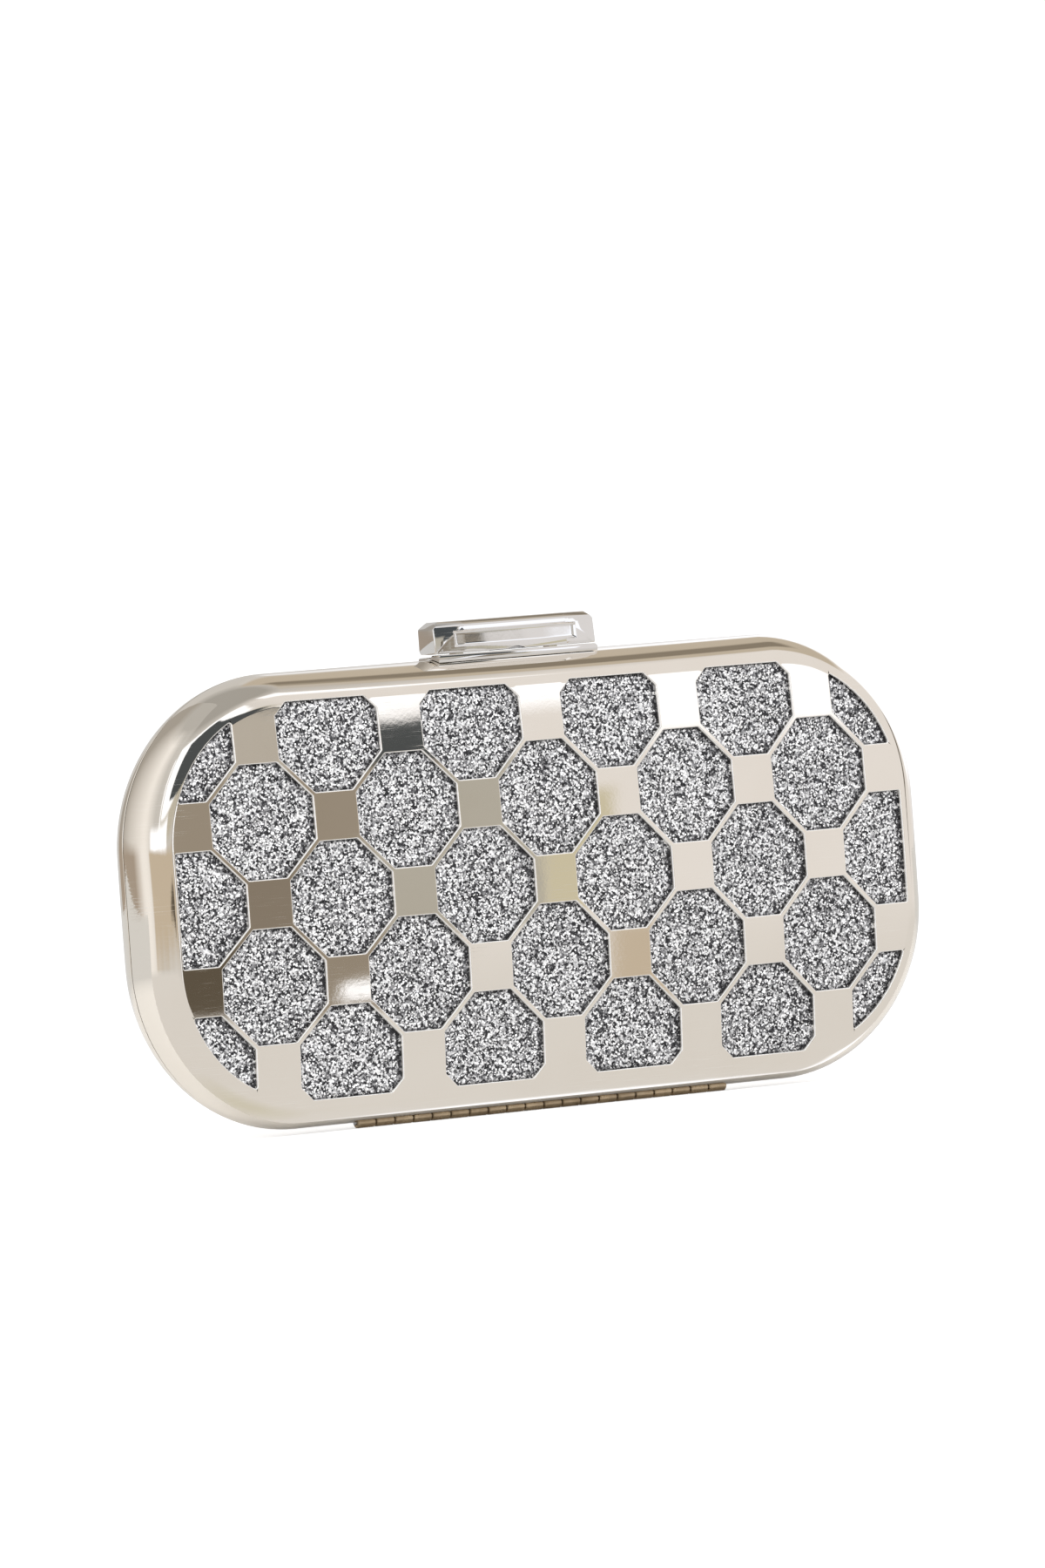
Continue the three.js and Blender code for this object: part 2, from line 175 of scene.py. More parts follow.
def rampOf(tree, value, stops, interpolation="LINEAR"):
    # stops are (position, grey or colour)
    made = tree.nodes.new("ShaderNodeValToRGB")
    made.color_ramp.interpolation = interpolation
    elements = made.color_ramp.elements
    while len(elements) < len(stops):
        elements.new(0.5)
    for element, (position, colour) in zip(elements, stops):
        element.position = position
        grey = isinstance(colour, (int, float))
        element.color = (colour, colour, colour, 1) if grey else (*colour, 1)
    tree.links.new(value, made.inputs[0])
    return made.outputs[0]


def mixOf(tree, share, a, b, blend="MIX"):
    made = tree.nodes.new("ShaderNodeMix")
    made.data_type = "RGBA"
    made.blend_type = blend
    made.clamp_factor = True
    for index, value in ((0, share), (6, a), (7, b)):
        if isinstance(value, bpy.types.NodeSocket):
            tree.links.new(value, made.inputs[index])
        else:
            made.inputs[index].default_value = value if index == 0 else (*value, 1)
    return made.outputs[2]


def objectPlace(tree, scale=(1, 1, 1), turn=(0, 0, 0)):
    place = tree.nodes.new("ShaderNodeTexCoord").outputs["Object"]
    return node(tree, "ShaderNodeMapping", Vector=place, Scale=scale, Rotation=turn).outputs[0]


def polishedMetal(name, look):
    material, tree, shader = newMaterial(name)
    place = objectPlace(tree)
    # hand smudges and a cloudy polish
    cloud = node(tree, "ShaderNodeTexNoise", Vector=place, Scale=look["cloudScale"], Detail=3.0).outputs[0]
    smudge = node(tree, "ShaderNodeTexNoise", Vector=place, Scale=look["cloudScale"] * 5,
                  Detail=4.0).outputs[0]
    both = maths(tree, "MULTIPLY", rampOf(tree, cloud, [(0.35, 0.0), (0.7, 1.0)]), smudge)
    tint = mixOf(tree, maths(tree, "MULTIPLY", both, 1.4), look["colour"], look["cloudColour"])
    # hairlines, in two directions
    hairs = []
    for turn, stretch in ((0.5, 1.0), (-0.9, 1.3)):
        along = objectPlace(tree, (90 * stretch, 90, 5200 * stretch), (0, turn, 0))
        fine = node(tree, "ShaderNodeTexNoise", Vector=along, Scale=1.0, Detail=1.0).outputs[0]
        hairs.append(rampOf(tree, fine, [(0.62, 0.0), (0.72, 1.0)]))
    hair = maths(tree, "MAXIMUM", hairs[0], hairs[1])
    patchy = node(tree, "ShaderNodeTexNoise", Vector=place, Scale=70.0, Detail=2.0).outputs[0]
    hair = maths(tree, "MULTIPLY", hair, rampOf(tree, patchy, [(0.45, 0.0), (0.7, 1.0)]))
    tint = mixOf(tree, maths(tree, "MULTIPLY", hair, look["hairTint"]), tint, look["hairColour"])
    # punched edges are freshly cut: paler and less polished
    cut = node(tree, "ShaderNodeAttribute", {"attribute_name": "cut"}).outputs["Fac"]
    tint = mixOf(tree, cut, tint, (0.86, 0.85, 0.83))
    tree.links.new(tint, shader.inputs["Base Color"])
    tree.links.new(maths(tree, "MULTIPLY_ADD", cut, -0.7, 1.0), shader.inputs["Metallic"])
    rough = maths(tree, "MULTIPLY_ADD", both, look["roughSpread"], look["roughness"])
    rough = maths(tree, "MULTIPLY_ADD", hair, look["hairRough"], rough)
    rough = maths(tree, "MULTIPLY_ADD", cut, 0.3, rough)
    tree.links.new(rough, shader.inputs["Roughness"])
    # the sheet is pressed, so what it mirrors wavers a little
    wave = node(tree, "ShaderNodeTexNoise", Vector=place, Scale=look["waveScale"], Detail=1.0).outputs[0]
    bump = node(tree, "ShaderNodeBump", Strength=1.0, Distance=look["waveHeight"], Height=wave)
    grain = node(tree, "ShaderNodeTexNoise", Vector=place, Scale=1400.0, Detail=2.0).outputs[0]
    fineBump = node(tree, "ShaderNodeBump", Strength=1.0, Distance=look["grainHeight"], Height=grain,
                    Normal=bump.outputs[0])
    tree.links.new(fineBump.outputs[0], shader.inputs["Normal"])
    return material


shellLook = {
    "colour": (0.93, 0.875, 0.79), "cloudColour": (0.90, 0.84, 0.75), "hairColour": (0.99, 0.96, 0.90),
    "cloudScale": 30.0, "roughness": 0.018, "roughSpread": 0.05, "hairTint": 0.45, "hairRough": 0.14,
    "waveScale": 42.0, "waveHeight": 0.00006, "grainHeight": 0.0000012,
}
claspLook = {
    "colour": (0.85, 0.83, 0.805), "cloudColour": (0.78, 0.76, 0.73), "hairColour": (0.98, 0.97, 0.96),
    "cloudScale": 60.0, "roughness": 0.025, "roughSpread": 0.05, "hairTint": 0.4, "hairRough": 0.15,
    "waveScale": 110.0, "waveHeight": 0.00002, "grainHeight": 0.0000012,
}
bandLook = dict(shellLook, colour=(0.90, 0.82, 0.68), roughness=0.16, waveHeight=0.00002)
hingeLook = {
    "colour": (0.62, 0.49, 0.33), "cloudColour": (0.36, 0.27, 0.17), "hairColour": (0.85, 0.74, 0.56),
    "cloudScale": 160.0, "roughness": 0.24, "roughSpread": 0.25, "hairTint": 0.5, "hairRough": 0.1,
    "waveScale": 500.0, "waveHeight": 0.00002, "grainHeight": 0.000004,
}
steelLook = {
    "colour": (0.62, 0.62, 0.63), "cloudColour": (0.45, 0.45, 0.46), "hairColour": (0.8, 0.8, 0.82),
    "cloudScale": 300.0, "roughness": 0.25, "roughSpread": 0.2, "hairTint": 0.5, "hairRough": 0.15,
    "waveScale": 600.0, "waveHeight": 0.00001, "grainHeight": 0.000003,
}
champagneGold = polishedMetal("champagne_gold", shellLook)
claspSilver = polishedMetal("clasp_silver", claspLook)
bandGold = polishedMetal("band_gold", bandLook)
hingeGold = polishedMetal("hinge_gold", hingeLook)
pinSteel = polishedMetal("pin_steel", steelLook)


def boardPaper():
    material, tree, shader = newMaterial("board_paper")
    place = objectPlace(tree)
    fibre = node(tree, "ShaderNodeTexNoise", Vector=objectPlace(tree, (300, 2500, 2500), (0, 0.3, 0)),
                 Scale=1.0, Detail=3.0).outputs[0]
    cloud = node(tree, "ShaderNodeTexNoise", Vector=place, Scale=120.0, Detail=5.0).outputs[0]
    both = maths(tree, "MULTIPLY_ADD", fibre, 0.5, maths(tree, "MULTIPLY", cloud, 0.5))
    colour = rampOf(tree, both, [
        (0.3, (0.14, 0.12, 0.095)), (0.55, (0.25, 0.22, 0.175)), (0.75, (0.36, 0.32, 0.26))])
    tree.links.new(colour, shader.inputs["Base Color"])
    shader.inputs["Roughness"].default_value = 0.9
    bump = node(tree, "ShaderNodeBump", Strength=0.6, Distance=0.00008, Height=both)
    tree.links.new(bump.outputs[0], shader.inputs["Normal"])
    return material


def liningSatin():
    # five-shaft satin: long floats along x, crossed by a fine thread
    material, tree, shader = newMaterial("lining_satin")
    thread = node(tree, "ShaderNodeTexWave", {"wave_type": "BANDS", "bands_direction": "Z"},
                  Vector=objectPlace(tree), Scale=1300.0, Distortion=1.2, Detail=1.0).outputs["Fac"]
    floats = node(tree, "ShaderNodeTexNoise", Vector=objectPlace(tree, (700, 4000, 4000)), Scale=1.0,
                  Detail=2.0).outputs[0]
    crush = node(tree, "ShaderNodeTexNoise", Vector=objectPlace(tree, (40, 40, 70)), Scale=1.0,
                 Detail=3.0).outputs[0]
    weave = maths(tree, "MULTIPLY_ADD", thread, 0.55, maths(tree, "MULTIPLY", floats, 0.45))
    colour = rampOf(tree, weave, [
        (0.2, (0.50, 0.43, 0.34)), (0.5, (0.66, 0.585, 0.475)), (0.8, (0.80, 0.73, 0.62))])
    colour = mixOf(tree, rampOf(tree, crush, [(0.4, 0.0), (0.7, 0.35)]), colour, (0.72, 0.65, 0.54))
    tree.links.new(colour, shader.inputs["Base Color"])
    rough = maths(tree, "MULTIPLY_ADD", floats, 0.25, 0.24)
    tree.links.new(rough, shader.inputs["Roughness"])
    shader.inputs["Sheen Weight"].default_value = 0.35
    shader.inputs["Sheen Roughness"].default_value = 0.4
    shader.inputs["Specular IOR Level"].default_value = 0.7
    shader.inputs["Anisotropic"].default_value = 0.6
    bump = node(tree, "ShaderNodeBump", Strength=0.5, Distance=0.00005, Height=weave)
    folds = node(tree, "ShaderNodeBump", Strength=0.6, Distance=0.0007, Height=crush, Normal=bump.outputs[0])
    tree.links.new(folds.outputs[0], shader.inputs["Normal"])
    return material


def glitterCloth():
    # crushed grains under the loose flakes
    material, tree, shader = newMaterial("glitter_cloth")
    place = objectPlace(tree)
    grain = node(tree, "ShaderNodeTexVoronoi", {"feature": "F1"}, Vector=place, Scale=1900.0)
    tone = node(tree, "ShaderNodeSeparateColor", Color=grain.outputs["Color"])
    colour = rampOf(tree, tone.outputs[0], [
        (0.0, (0.01, 0.01, 0.012)), (0.4, (0.05, 0.05, 0.055)), (0.65, (0.30, 0.30, 0.31)),
        (0.85, (0.75, 0.75, 0.76)), (1.0, (1.0, 1.0, 1.0))])
    tree.links.new(colour, shader.inputs["Base Color"])
    shader.inputs["Metallic"].default_value = 0.4
    tree.links.new(maths(tree, "MULTIPLY_ADD", tone.outputs[1], 0.3, 0.25), shader.inputs["Roughness"])
    bump = node(tree, "ShaderNodeBump", Strength=1.0, Distance=0.0002, Height=tone.outputs[2])
    tree.links.new(bump.outputs[0], shader.inputs["Normal"])
    return material


def glitterFlake():
    # each flake keeps one tone and one polish
    material, tree, shader = newMaterial("glitter_flake")
    tone = node(tree, "ShaderNodeAttribute", {"attribute_name": "tone"}).outputs["Fac"]
    speck = node(tree, "ShaderNodeTexNoise", Vector=objectPlace(tree), Scale=3000.0, Detail=1.0).outputs[0]
    mixed = maths(tree, "MULTIPLY_ADD", speck, 0.25, maths(tree, "SUBTRACT", tone, 0.125))
    colour = rampOf(tree, mixed, [
        (0.0, (0.01, 0.01, 0.012)), (0.14, (0.04, 0.04, 0.043)), (0.29, (0.34, 0.34, 0.35)),
        (0.46, (0.86, 0.86, 0.87)), (0.62, (1.0, 1.0, 1.0))])
    tree.links.new(colour, shader.inputs["Base Color"])
    shader.inputs["Metallic"].default_value = 0.25
    tree.links.new(maths(tree, "MULTIPLY_ADD", tone, 0.2, 0.22), shader.inputs["Roughness"])
    return material


boardCard = boardPaper()
satin = liningSatin()
clothGlitter = glitterCloth()
flakeGlitter = glitterFlake()
print("materials ready")

# ---- the case's surface

case = {
    "halfWidth": 100.0, "halfHeight": 49.25, "cornerRadius": 37.3,
    "halfDepth": 13.3, "domeX": 0.00078, "domeZ": 0.0021,
    "rimWidth": 7.1, "rimPower": 0.6, "centreHeight": 50.5,
    "outlineStep": 1.9, "rollRows": 26,
}


def outlineSpine(step, marks=()):
    # the core rectangle's points with their outward directions, anticlockwise from the right
    reachX = case["halfWidth"] - case["cornerRadius"]
    reachZ = case["halfHeight"] - case["cornerRadius"]
    spots = []

    def straight(start, end, out, extra=()):
        start, end = np.array(start, float), np.array(end, float)
        length = np.linalg.norm(end - start)
        count = max(2, round(length / step))
        shares = sorted(set([i / count for i in range(count)]) | set(extra))
        for share in shares:
            spots.append((*(start + (end - start) * share), *out))

    def corner(cx, cz, first):
        count = max(6, round(case["cornerRadius"] * math.pi / 2 / step))
        for i in range(count):
            turn = math.radians(first + 90 * i / count)
            spots.append((cx, cz, math.cos(turn), math.sin(turn)))

    corner(reachX, reachZ, 0)
    straight((reachX, reachZ), (-reachX, reachZ), (0, 1))
    corner(-reachX, reachZ, 90)
    straight((-reachX, reachZ), (-reachX, -reachZ), (-1, 0))
    corner(-reachX, -reachZ, 180)
    extra = [(mark + reachX) / (2 * reachX) for mark in marks]
    straight((-reachX, -reachZ), (reachX, -reachZ), (0, -1), extra)
    corner(reachX, -reachZ, 270)
    straight((reachX, -reachZ), (reachX, reachZ), (1, 0))
    spots = np.array(spots)
    return spots[:, :2], spots[:, 2:]


def ringAt(spine, inset):
    core, out = spine
    inset = np.broadcast_to(inset, len(core))
    return core + out * (case["cornerRadius"] - inset)[:, None]


def insetOf(x, z):
    # how far inside the outline a point is
    reachX = case["halfWidth"] - case["cornerRadius"]
    reachZ = case["halfHeight"] - case["cornerRadius"]
    dx, dz = np.abs(x) - reachX, np.abs(z) - reachZ
    far = np.hypot(np.maximum(dx, 0), np.maximum(dz, 0))
    return case["cornerRadius"] - np.where((dx > 0) | (dz > 0), far, np.maximum(dx, dz))


def outwardOf(x, z):
    reachX = case["halfWidth"] - case["cornerRadius"]
    reachZ = case["halfHeight"] - case["cornerRadius"]
    dx, dz = np.abs(x) - reachX, np.abs(z) - reachZ
    sideways = np.where(dz <= 0, 1.0, np.where(dx <= 0, 0.0, dx))
    upward = np.where(dz <= 0, 0.0, np.where(dx <= 0, 1.0, dz))
    inside = (dx <= 0) & (dz <= 0)
    sideways, upward = np.where(inside, dx > dz, sideways), np.where(inside, dx <= dz, upward)
    return unit(np.stack([sideways * np.sign(x), upward * np.sign(z)], -1))


def surfaceAt(offset, x, z, out=None):
    # points and outward normals of the front half's surface, "offset" inside the outer one
    inset = insetOf(x, z)
    out = outwardOf(x, z) if out is None else out
    width = case["rimWidth"] - offset / 2
    rise = 1 - np.clip((inset - offset) / width, 0.0, 1.0)
    fall = np.maximum(1 - rise ** 2, 1e-7)
    roll = fall ** case["rimPower"]
    slope = 2 * case["rimPower"] * rise * fall ** (case["rimPower"] - 1) / width
    dome = case["halfDepth"] - offset - (case["domeX"] * x ** 2 + case["domeZ"] * z ** 2) / 2
    points = np.stack([x, -roll * dome, z], -1)
    nx = slope * dome * out[:, 0] + roll * case["domeX"] * x
    nz = slope * dome * out[:, 1] + roll * case["domeZ"] * z
    return points, unit(np.stack([nx, -np.ones_like(nx), nz], -1))


def rollRows(spine, offset, startDepth, endInset, count):
    # rows from near the seam up over the rolled rim, evenly turned
    core, out = spine
    width = case["rimWidth"] - offset / 2
    endTurn = math.acos(1 - (endInset - offset) / width)
    startDepth = np.broadcast_to(startDepth, len(core))
    edge = ringAt(spine, offset)
    drop = (case["domeX"] * edge[:, 0] ** 2 + case["domeZ"] * edge[:, 1] ** 2) / 2
    dome = case["halfDepth"] - offset - drop
    startTurn = np.arcsin(np.clip(startDepth / dome, 0, 1) ** (0.5 / case["rimPower"]))
    rows = []
    for row in range(count + 1):
        turn = startTurn + (endTurn - startTurn) * row / count
        flat = ringAt(spine, offset + width * (1 - np.cos(turn)))
        rows.append(surfaceAt(offset, flat[:, 0], flat[:, 1], out))
    return rows


# ---- windows: octagons on a diagonal lattice, clipped by a rounded field

windows = {
    "step": 17.75, "size": 24.85, "chamfer": 7.85,
    "fieldHalfWidth": 92.65, "fieldHalfHeight": 42.95, "fieldRadius": 30.2,
    "cornerRounding": 0.45, "edgeRounding": 0.24, "pointSpacing": 2.0,
    "columns": 5, "rows": 2, "fieldPlanes": 72, "cornerStep": 16, "blockHalf": 30.0, "same": 1e-4,
}


def clipped(polygon, planes):
    for nx, nz, limit in planes:
        kept = []
        for i, here in enumerate(polygon):
            there = polygon[(i + 1) % len(polygon)]
            a = here[0] * nx + here[1] * nz - limit
            b = there[0] * nx + there[1] * nz - limit
            if a <= 1e-9:
                kept.append(here)
            if (a < -1e-9 and b > 1e-9) or (a > 1e-9 and b < -1e-9):
                share = a / (a - b)
                kept.append(tuple(h + (t - h) * share for h, t in zip(here, there)))
        polygon = kept
        if len(polygon) < 3:
            return []
    return polygon


def roundedOutline(polygon):
    # the polygon's points with outward directions, turning in small steps at each corner
    core, out = [], []
    count = len(polygon)
    edges = [np.subtract(polygon[(i + 1) % count], polygon[i]) for i in range(count)]
    outs = [unit([edge[1], -edge[0]]) for edge in edges]
    for i in range(count):
        first = math.atan2(outs[i - 1][1], outs[i - 1][0])
        swing = (math.atan2(outs[i][1], outs[i][0]) - first) % (2 * math.pi)
        steps = max(1, math.ceil(swing / math.radians(windows["cornerStep"])))
        for k in range(steps + 1):
            turn = first + swing * k / steps
            core.append(polygon[i])
            out.append((math.cos(turn), math.sin(turn)))
        steps = max(1, round(float(np.linalg.norm(edges[i])) / windows["pointSpacing"]))
        for k in range(1, steps):
            core.append(tuple(np.add(polygon[i], edges[i] * k / steps)))
            out.append(tuple(outs[i]))
    return np.array(core), np.array(out)


def windowSpines():
    # each window as points of its shrunk outline with outward directions, so that it can grow or shrink
    side = windows["size"] / 2
    slant = (2 * side - windows["chamfer"]) / math.sqrt(2)
    fieldX = windows["fieldHalfWidth"] - windows["fieldRadius"]
    fieldZ = windows["fieldHalfHeight"] - windows["fieldRadius"]
    field = []
    for i in range(windows["fieldPlanes"]):
        turn = math.radians(360 / windows["fieldPlanes"] * i)
        nx, nz = math.cos(turn), math.sin(turn)
        field.append((nx, nz, fieldX * abs(nx) + fieldZ * abs(nz) + windows["fieldRadius"]))
    found = []
    for column in range(-windows["columns"], windows["columns"] + 1):
        for row in range(-windows["rows"], windows["rows"] + 1):
            if (column + row) % 2 == 0:
                continue
            cx, cz = column * windows["step"], row * windows["step"]
            planes = list(field)
            for i in range(8):
                turn = math.radians(45 * i)
                nx, nz = math.cos(turn), math.sin(turn)
                planes.append((nx, nz, cx * nx + cz * nz + (side if i % 2 == 0 else slant)))
            shrink = windows["cornerRounding"]
            reach = windows["blockHalf"]
            block = [(cx + reach * a, cz + reach * b) for a, b in ((-1, -1), (1, -1), (1, 1), (-1, 1))]
            polygon = clipped(block, [(nx, nz, limit - shrink) for nx, nz, limit in planes])
            neat = [p for i, p in enumerate(polygon)
                    if math.dist(p, polygon[i - 1]) > windows["same"]]
            if len(neat) > 2:
                core, out = roundedOutline(neat)
                found.append({"core": core, "out": out, "planes": planes})
    return found


def windowRing(window, grow):
    return window["core"] + window["out"] * (windows["cornerRounding"] + grow)


def insideWindow(window, x, z, grow):
    inside = np.ones(len(x), bool)
    for nx, nz, limit in window["planes"]:
        inside &= x * nx + z * nz < limit + grow
    return inside


skin = {
    "rims": (0.45, 0.9, 1.3, 1.75), "rimClear": 0.35, "gridInset": 2.2, "gridClear": 0.7, "rowRise": 0.87,
    "sameSpot": 1e-6, "leastArea": 1e-9, "edgeSlack": 1e-4,
}


def gridPoints(step, keepInset, holes, holeGrow):
    # loose points over the face, in offset rows, clear of its edge and of its holes
    spots = []
    rows = int(case["halfHeight"] / (step * skin["rowRise"])) + 1
    columns = int(case["halfWidth"] / step) + 1
    for row in range(-rows, rows + 1):
        for column in range(-columns, columns + 1):
            spots.append(((column + 0.5 * (row % 2)) * step, row * step * skin["rowRise"]))
    spots = np.array(spots)
    keep = insetOf(spots[:, 0], spots[:, 1]) > keepInset
    for hole in holes:
        keep &= ~insideWindow(hole, spots[:, 0], spots[:, 1], holeGrow)
    return spots[keep]


def addSkin(made, offset, spine, ring, step, edgeInset, facing,
            holes=(), holeRings=(), holeFlats=(), holeGrow=0.0):
    # triangles over the face, between its edge ring and the window rings
    flats = [ringAt(spine, edgeInset), *holeFlats]
    indices = [ring, *holeRings]
    rims = []
    for inset in skin["rims"]:
        flat = ringAt(spine, edgeInset + inset)
        keep = np.ones(len(flat), bool)
        for hole in holes:
            keep &= ~insideWindow(hole, flat[:, 0], flat[:, 1], skin["rimClear"])
        rims.append(flat[keep])
    grid = gridPoints(step, edgeInset + skin["gridInset"], holes, skin["gridClear"])
    loose = np.concatenate([*rims, grid])
    points, normals = surfaceAt(offset, loose[:, 0], loose[:, 1])
    looseIndices = addPoints(made, points)
    flat = np.concatenate([*flats, loose])
    allIndices = np.concatenate([*indices, looseIndices])
    allNormals = surfaceAt(offset, flat[:, 0], flat[:, 1])[1] * facing
    edges = []
    at = 0
    for one in flats:
        count = len(one)
        edges.extend([(at + i, at + (i + 1) % count) for i in range(count)])
        at += count
    result = delaunay_2d_cdt([Vector(p) for p in flat.tolist()], edges, [], 0, skin["sameSpot"])
    verts, triangles, origin = result[0], result[2], result[3]
    source = [ids[0] if ids else -1 for ids in origin]
    place = np.array([tuple(v) for v in verts])
    corner = np.array([t[:3] for t in triangles])
    middle = place[corner].mean(1)
    keep = insetOf(middle[:, 0], middle[:, 1]) > edgeInset - skin["edgeSlack"]
    for window in holes:
        keep &= ~insideWindow(window, middle[:, 0], middle[:, 1], holeGrow)
    ab = place[corner[:, 1]] - place[corner[:, 0]]
    ac = place[corner[:, 2]] - place[corner[:, 0]]
    area = ab[:, 0] * ac[:, 1] - ab[:, 1] * ac[:, 0]
    for triangle, size in zip(corner[keep], area[keep]):
        ids = [source[i] for i in triangle]
        if min(ids) < 0 or abs(size) < skin["leastArea"]:
            continue
        if (size > 0) != (facing > 0):
            ids = ids[::-1]
        made["faces"].append(tuple(allIndices[i] for i in ids))
        made["normals"].extend([allNormals[i] for i in ids])


shell = {
    "thickness": 0.8, "seamGap": 0.15, "lipBevel": 0.14, "faceInset": 5.5, "gridStep": 3.0,
    "insideGridStep": 4.8, "insideRows": 10, "notchHalf": 48.0, "notchWall": 0.02, "notchDepth": 1.8,
    "tolerance": 0.01,
}
faceWindows = windowSpines()
notchMarks = [side * (shell["notchHalf"] + wall) for side in (-1, 1) for wall in (0, shell["notchWall"])]
caseSpine = outlineSpine(case["outlineStep"], notchMarks)


def makeShell(half):
    made = startMesh()
    out3 = np.stack([caseSpine[1][:, 0], np.zeros(len(caseSpine[1])), caseSpine[1][:, 1]], -1)
    back = np.array([0.0, 1.0, 0.0])
    nearMiddle = np.abs(caseSpine[0][:, 0]) < shell["notchHalf"] + shell["tolerance"]
    inNotch = (caseSpine[1][:, 1] < -0.999) & nearMiddle
    lip = np.where(inNotch, shell["notchDepth"], shell["seamGap"])
    bevel = shell["lipBevel"]
    inner = rollRows(caseSpine, shell["thickness"], lip + bevel, shell["faceInset"], shell["insideRows"])
    outer = rollRows(caseSpine, 0.0, lip + bevel, shell["faceInset"], case["rollRows"])
    flatIn = ringAt(caseSpine, insetOf(inner[0][0][:, 0], inner[0][0][:, 2]) - bevel)
    flatOut = ringAt(caseSpine, insetOf(outer[0][0][:, 0], outer[0][0][:, 2]) + bevel)
    rows = [(points, -normals) for points, normals in inner[::-1]]
    slanted = unit(back - out3)
    lipIn = np.stack([flatIn[:, 0], -lip, flatIn[:, 1]], -1)
    lipOut = np.stack([flatOut[:, 0], -lip, flatOut[:, 1]], -1)
    flatLip = np.broadcast_to(back, out3.shape)
    rows += [(lipIn, unit(slanted + back)), (lipOut, flatLip)]
    rings = [addPoints(made, points) for points, _ in rows]
    for k in range(len(rows) - 1):
        addBand(made, rings[k], rings[k + 1], rows[k][1], rows[k + 1][1])
    outerRings = [addPoints(made, points) for points, _ in outer]
    addBand(made, rings[-1], outerRings[0], unit(out3 + back), unit(out3 + 0.3 * back))
    for k in range(len(outer) - 1):
        addBand(made, outerRings[k], outerRings[k + 1], outer[k][1], outer[k + 1][1])
    # windows: rounded edge, then the wall down to the inner surface
    edge = windows["edgeRounding"]
    faceRings, faceFlats, innerRings, innerFlats = [], [], [], []
    cutPoints = []
    for window in faceWindows:
        out = np.stack([window["out"][:, 0], np.zeros(len(window["out"])), window["out"][:, 1]], -1)
        previous = None
        for turn in (0, 45, 90):
            grow = edge * (1 - math.sin(math.radians(turn)))
            sink = edge * (1 - math.cos(math.radians(turn)))
            lean = turn / 90
            flat = windowRing(window, grow)
            points, normals = surfaceAt(0.0, flat[:, 0], flat[:, 1])
            points = points + [0, sink, 0]
            turned = unit(normals * (1 - lean) - out * lean)
            ring = addPoints(made, points)
            if previous is None:
                faceRings.append(ring)
                faceFlats.append(flat)
            else:
                addBand(made, previous[0], ring, previous[1], turned)
                cutPoints.extend(ring)
            previous = (ring, turned)
        flat = windowRing(window, 0.0)
        points, normals = surfaceAt(shell["thickness"], flat[:, 0], flat[:, 1])
        ring = addPoints(made, points)
        addBand(made, previous[0], ring, -out, -out)
        innerRings.append(ring)
        innerFlats.append(flat)
    addSkin(made, 0.0, caseSpine, outerRings[-1], shell["gridStep"], shell["faceInset"], 1,
            faceWindows, faceRings, faceFlats, edge - shell["tolerance"])
    addSkin(made, shell["thickness"], caseSpine, rings[0], shell["insideGridStep"], shell["faceInset"], -1,
            faceWindows, innerRings, innerFlats, -shell["tolerance"])
    piece = toObject(made, half + "_pierced_shell", half == "rear", heightOfOrigin=case["centreHeight"])
    cut = np.zeros(len(made["points"]), np.float32)
    cut[cutPoints] = 1
    piece.data.attributes.new("cut", "FLOAT", "POINT").data.foreach_set("value", cut)
    return putOn(piece, halves[half], champagneGold, "shell_metal", half + "_shell")


for half in halves:
    piece = makeShell(half)
print("shells", len(piece.data.polygons), "faces each")

# ---- glitter cloth, with loose flakes on it

cloth = {
    "front": 1.0, "back": 1.5, "inset": 5.5, "gridStep": 1.7, "backGridStep": 4.25, "outlineStep": 2.4,
    "flat": (0.192, 0.09), "area": 0.0155, "flakesReach": 0.8,
    "flakesPerSquare": 4.2, "flakeRadius": 0.28, "flakeTilt": 0.62, "flakeLift": 0.16, "seed": 7,
    "flakeSides": 5, "flakeSmallest": 0.55, "flakeLargest": 1.2,
    # edgeFrom, edgeTo, edgeShadeTone and shadeShift set the painted shade on the flakes along the window
    # edges
    "edgeFrom": 0.0, "edgeTo": 1.0, "edgeShadeTone": 0.1, "shadeShift": 0.65, "leastFacing": 0.3,
}
clothSpine = outlineSpine(cloth["outlineStep"])


def makePanel(half):
    made = startMesh()
    flat = ringAt(clothSpine, cloth["inset"])
    backPoints, _ = surfaceAt(cloth["back"], flat[:, 0], flat[:, 1], clothSpine[1])
    frontPoints, _ = surfaceAt(cloth["front"], flat[:, 0], flat[:, 1], clothSpine[1])
    out3 = np.stack([clothSpine[1][:, 0], np.zeros(len(flat)), clothSpine[1][:, 1]], -1)
    backRing, frontRing = addPoints(made, backPoints), addPoints(made, frontPoints)
    addBand(made, backRing, frontRing, out3, out3)
    addSkin(made, cloth["front"], clothSpine, frontRing, cloth["gridStep"], cloth["inset"], 1)
    addSkin(made, cloth["back"], clothSpine, backRing, cloth["backGridStep"], cloth["inset"], -1)
    return toObject(made, half + "_glitter", half == "rear", heightOfOrigin=case["centreHeight"])


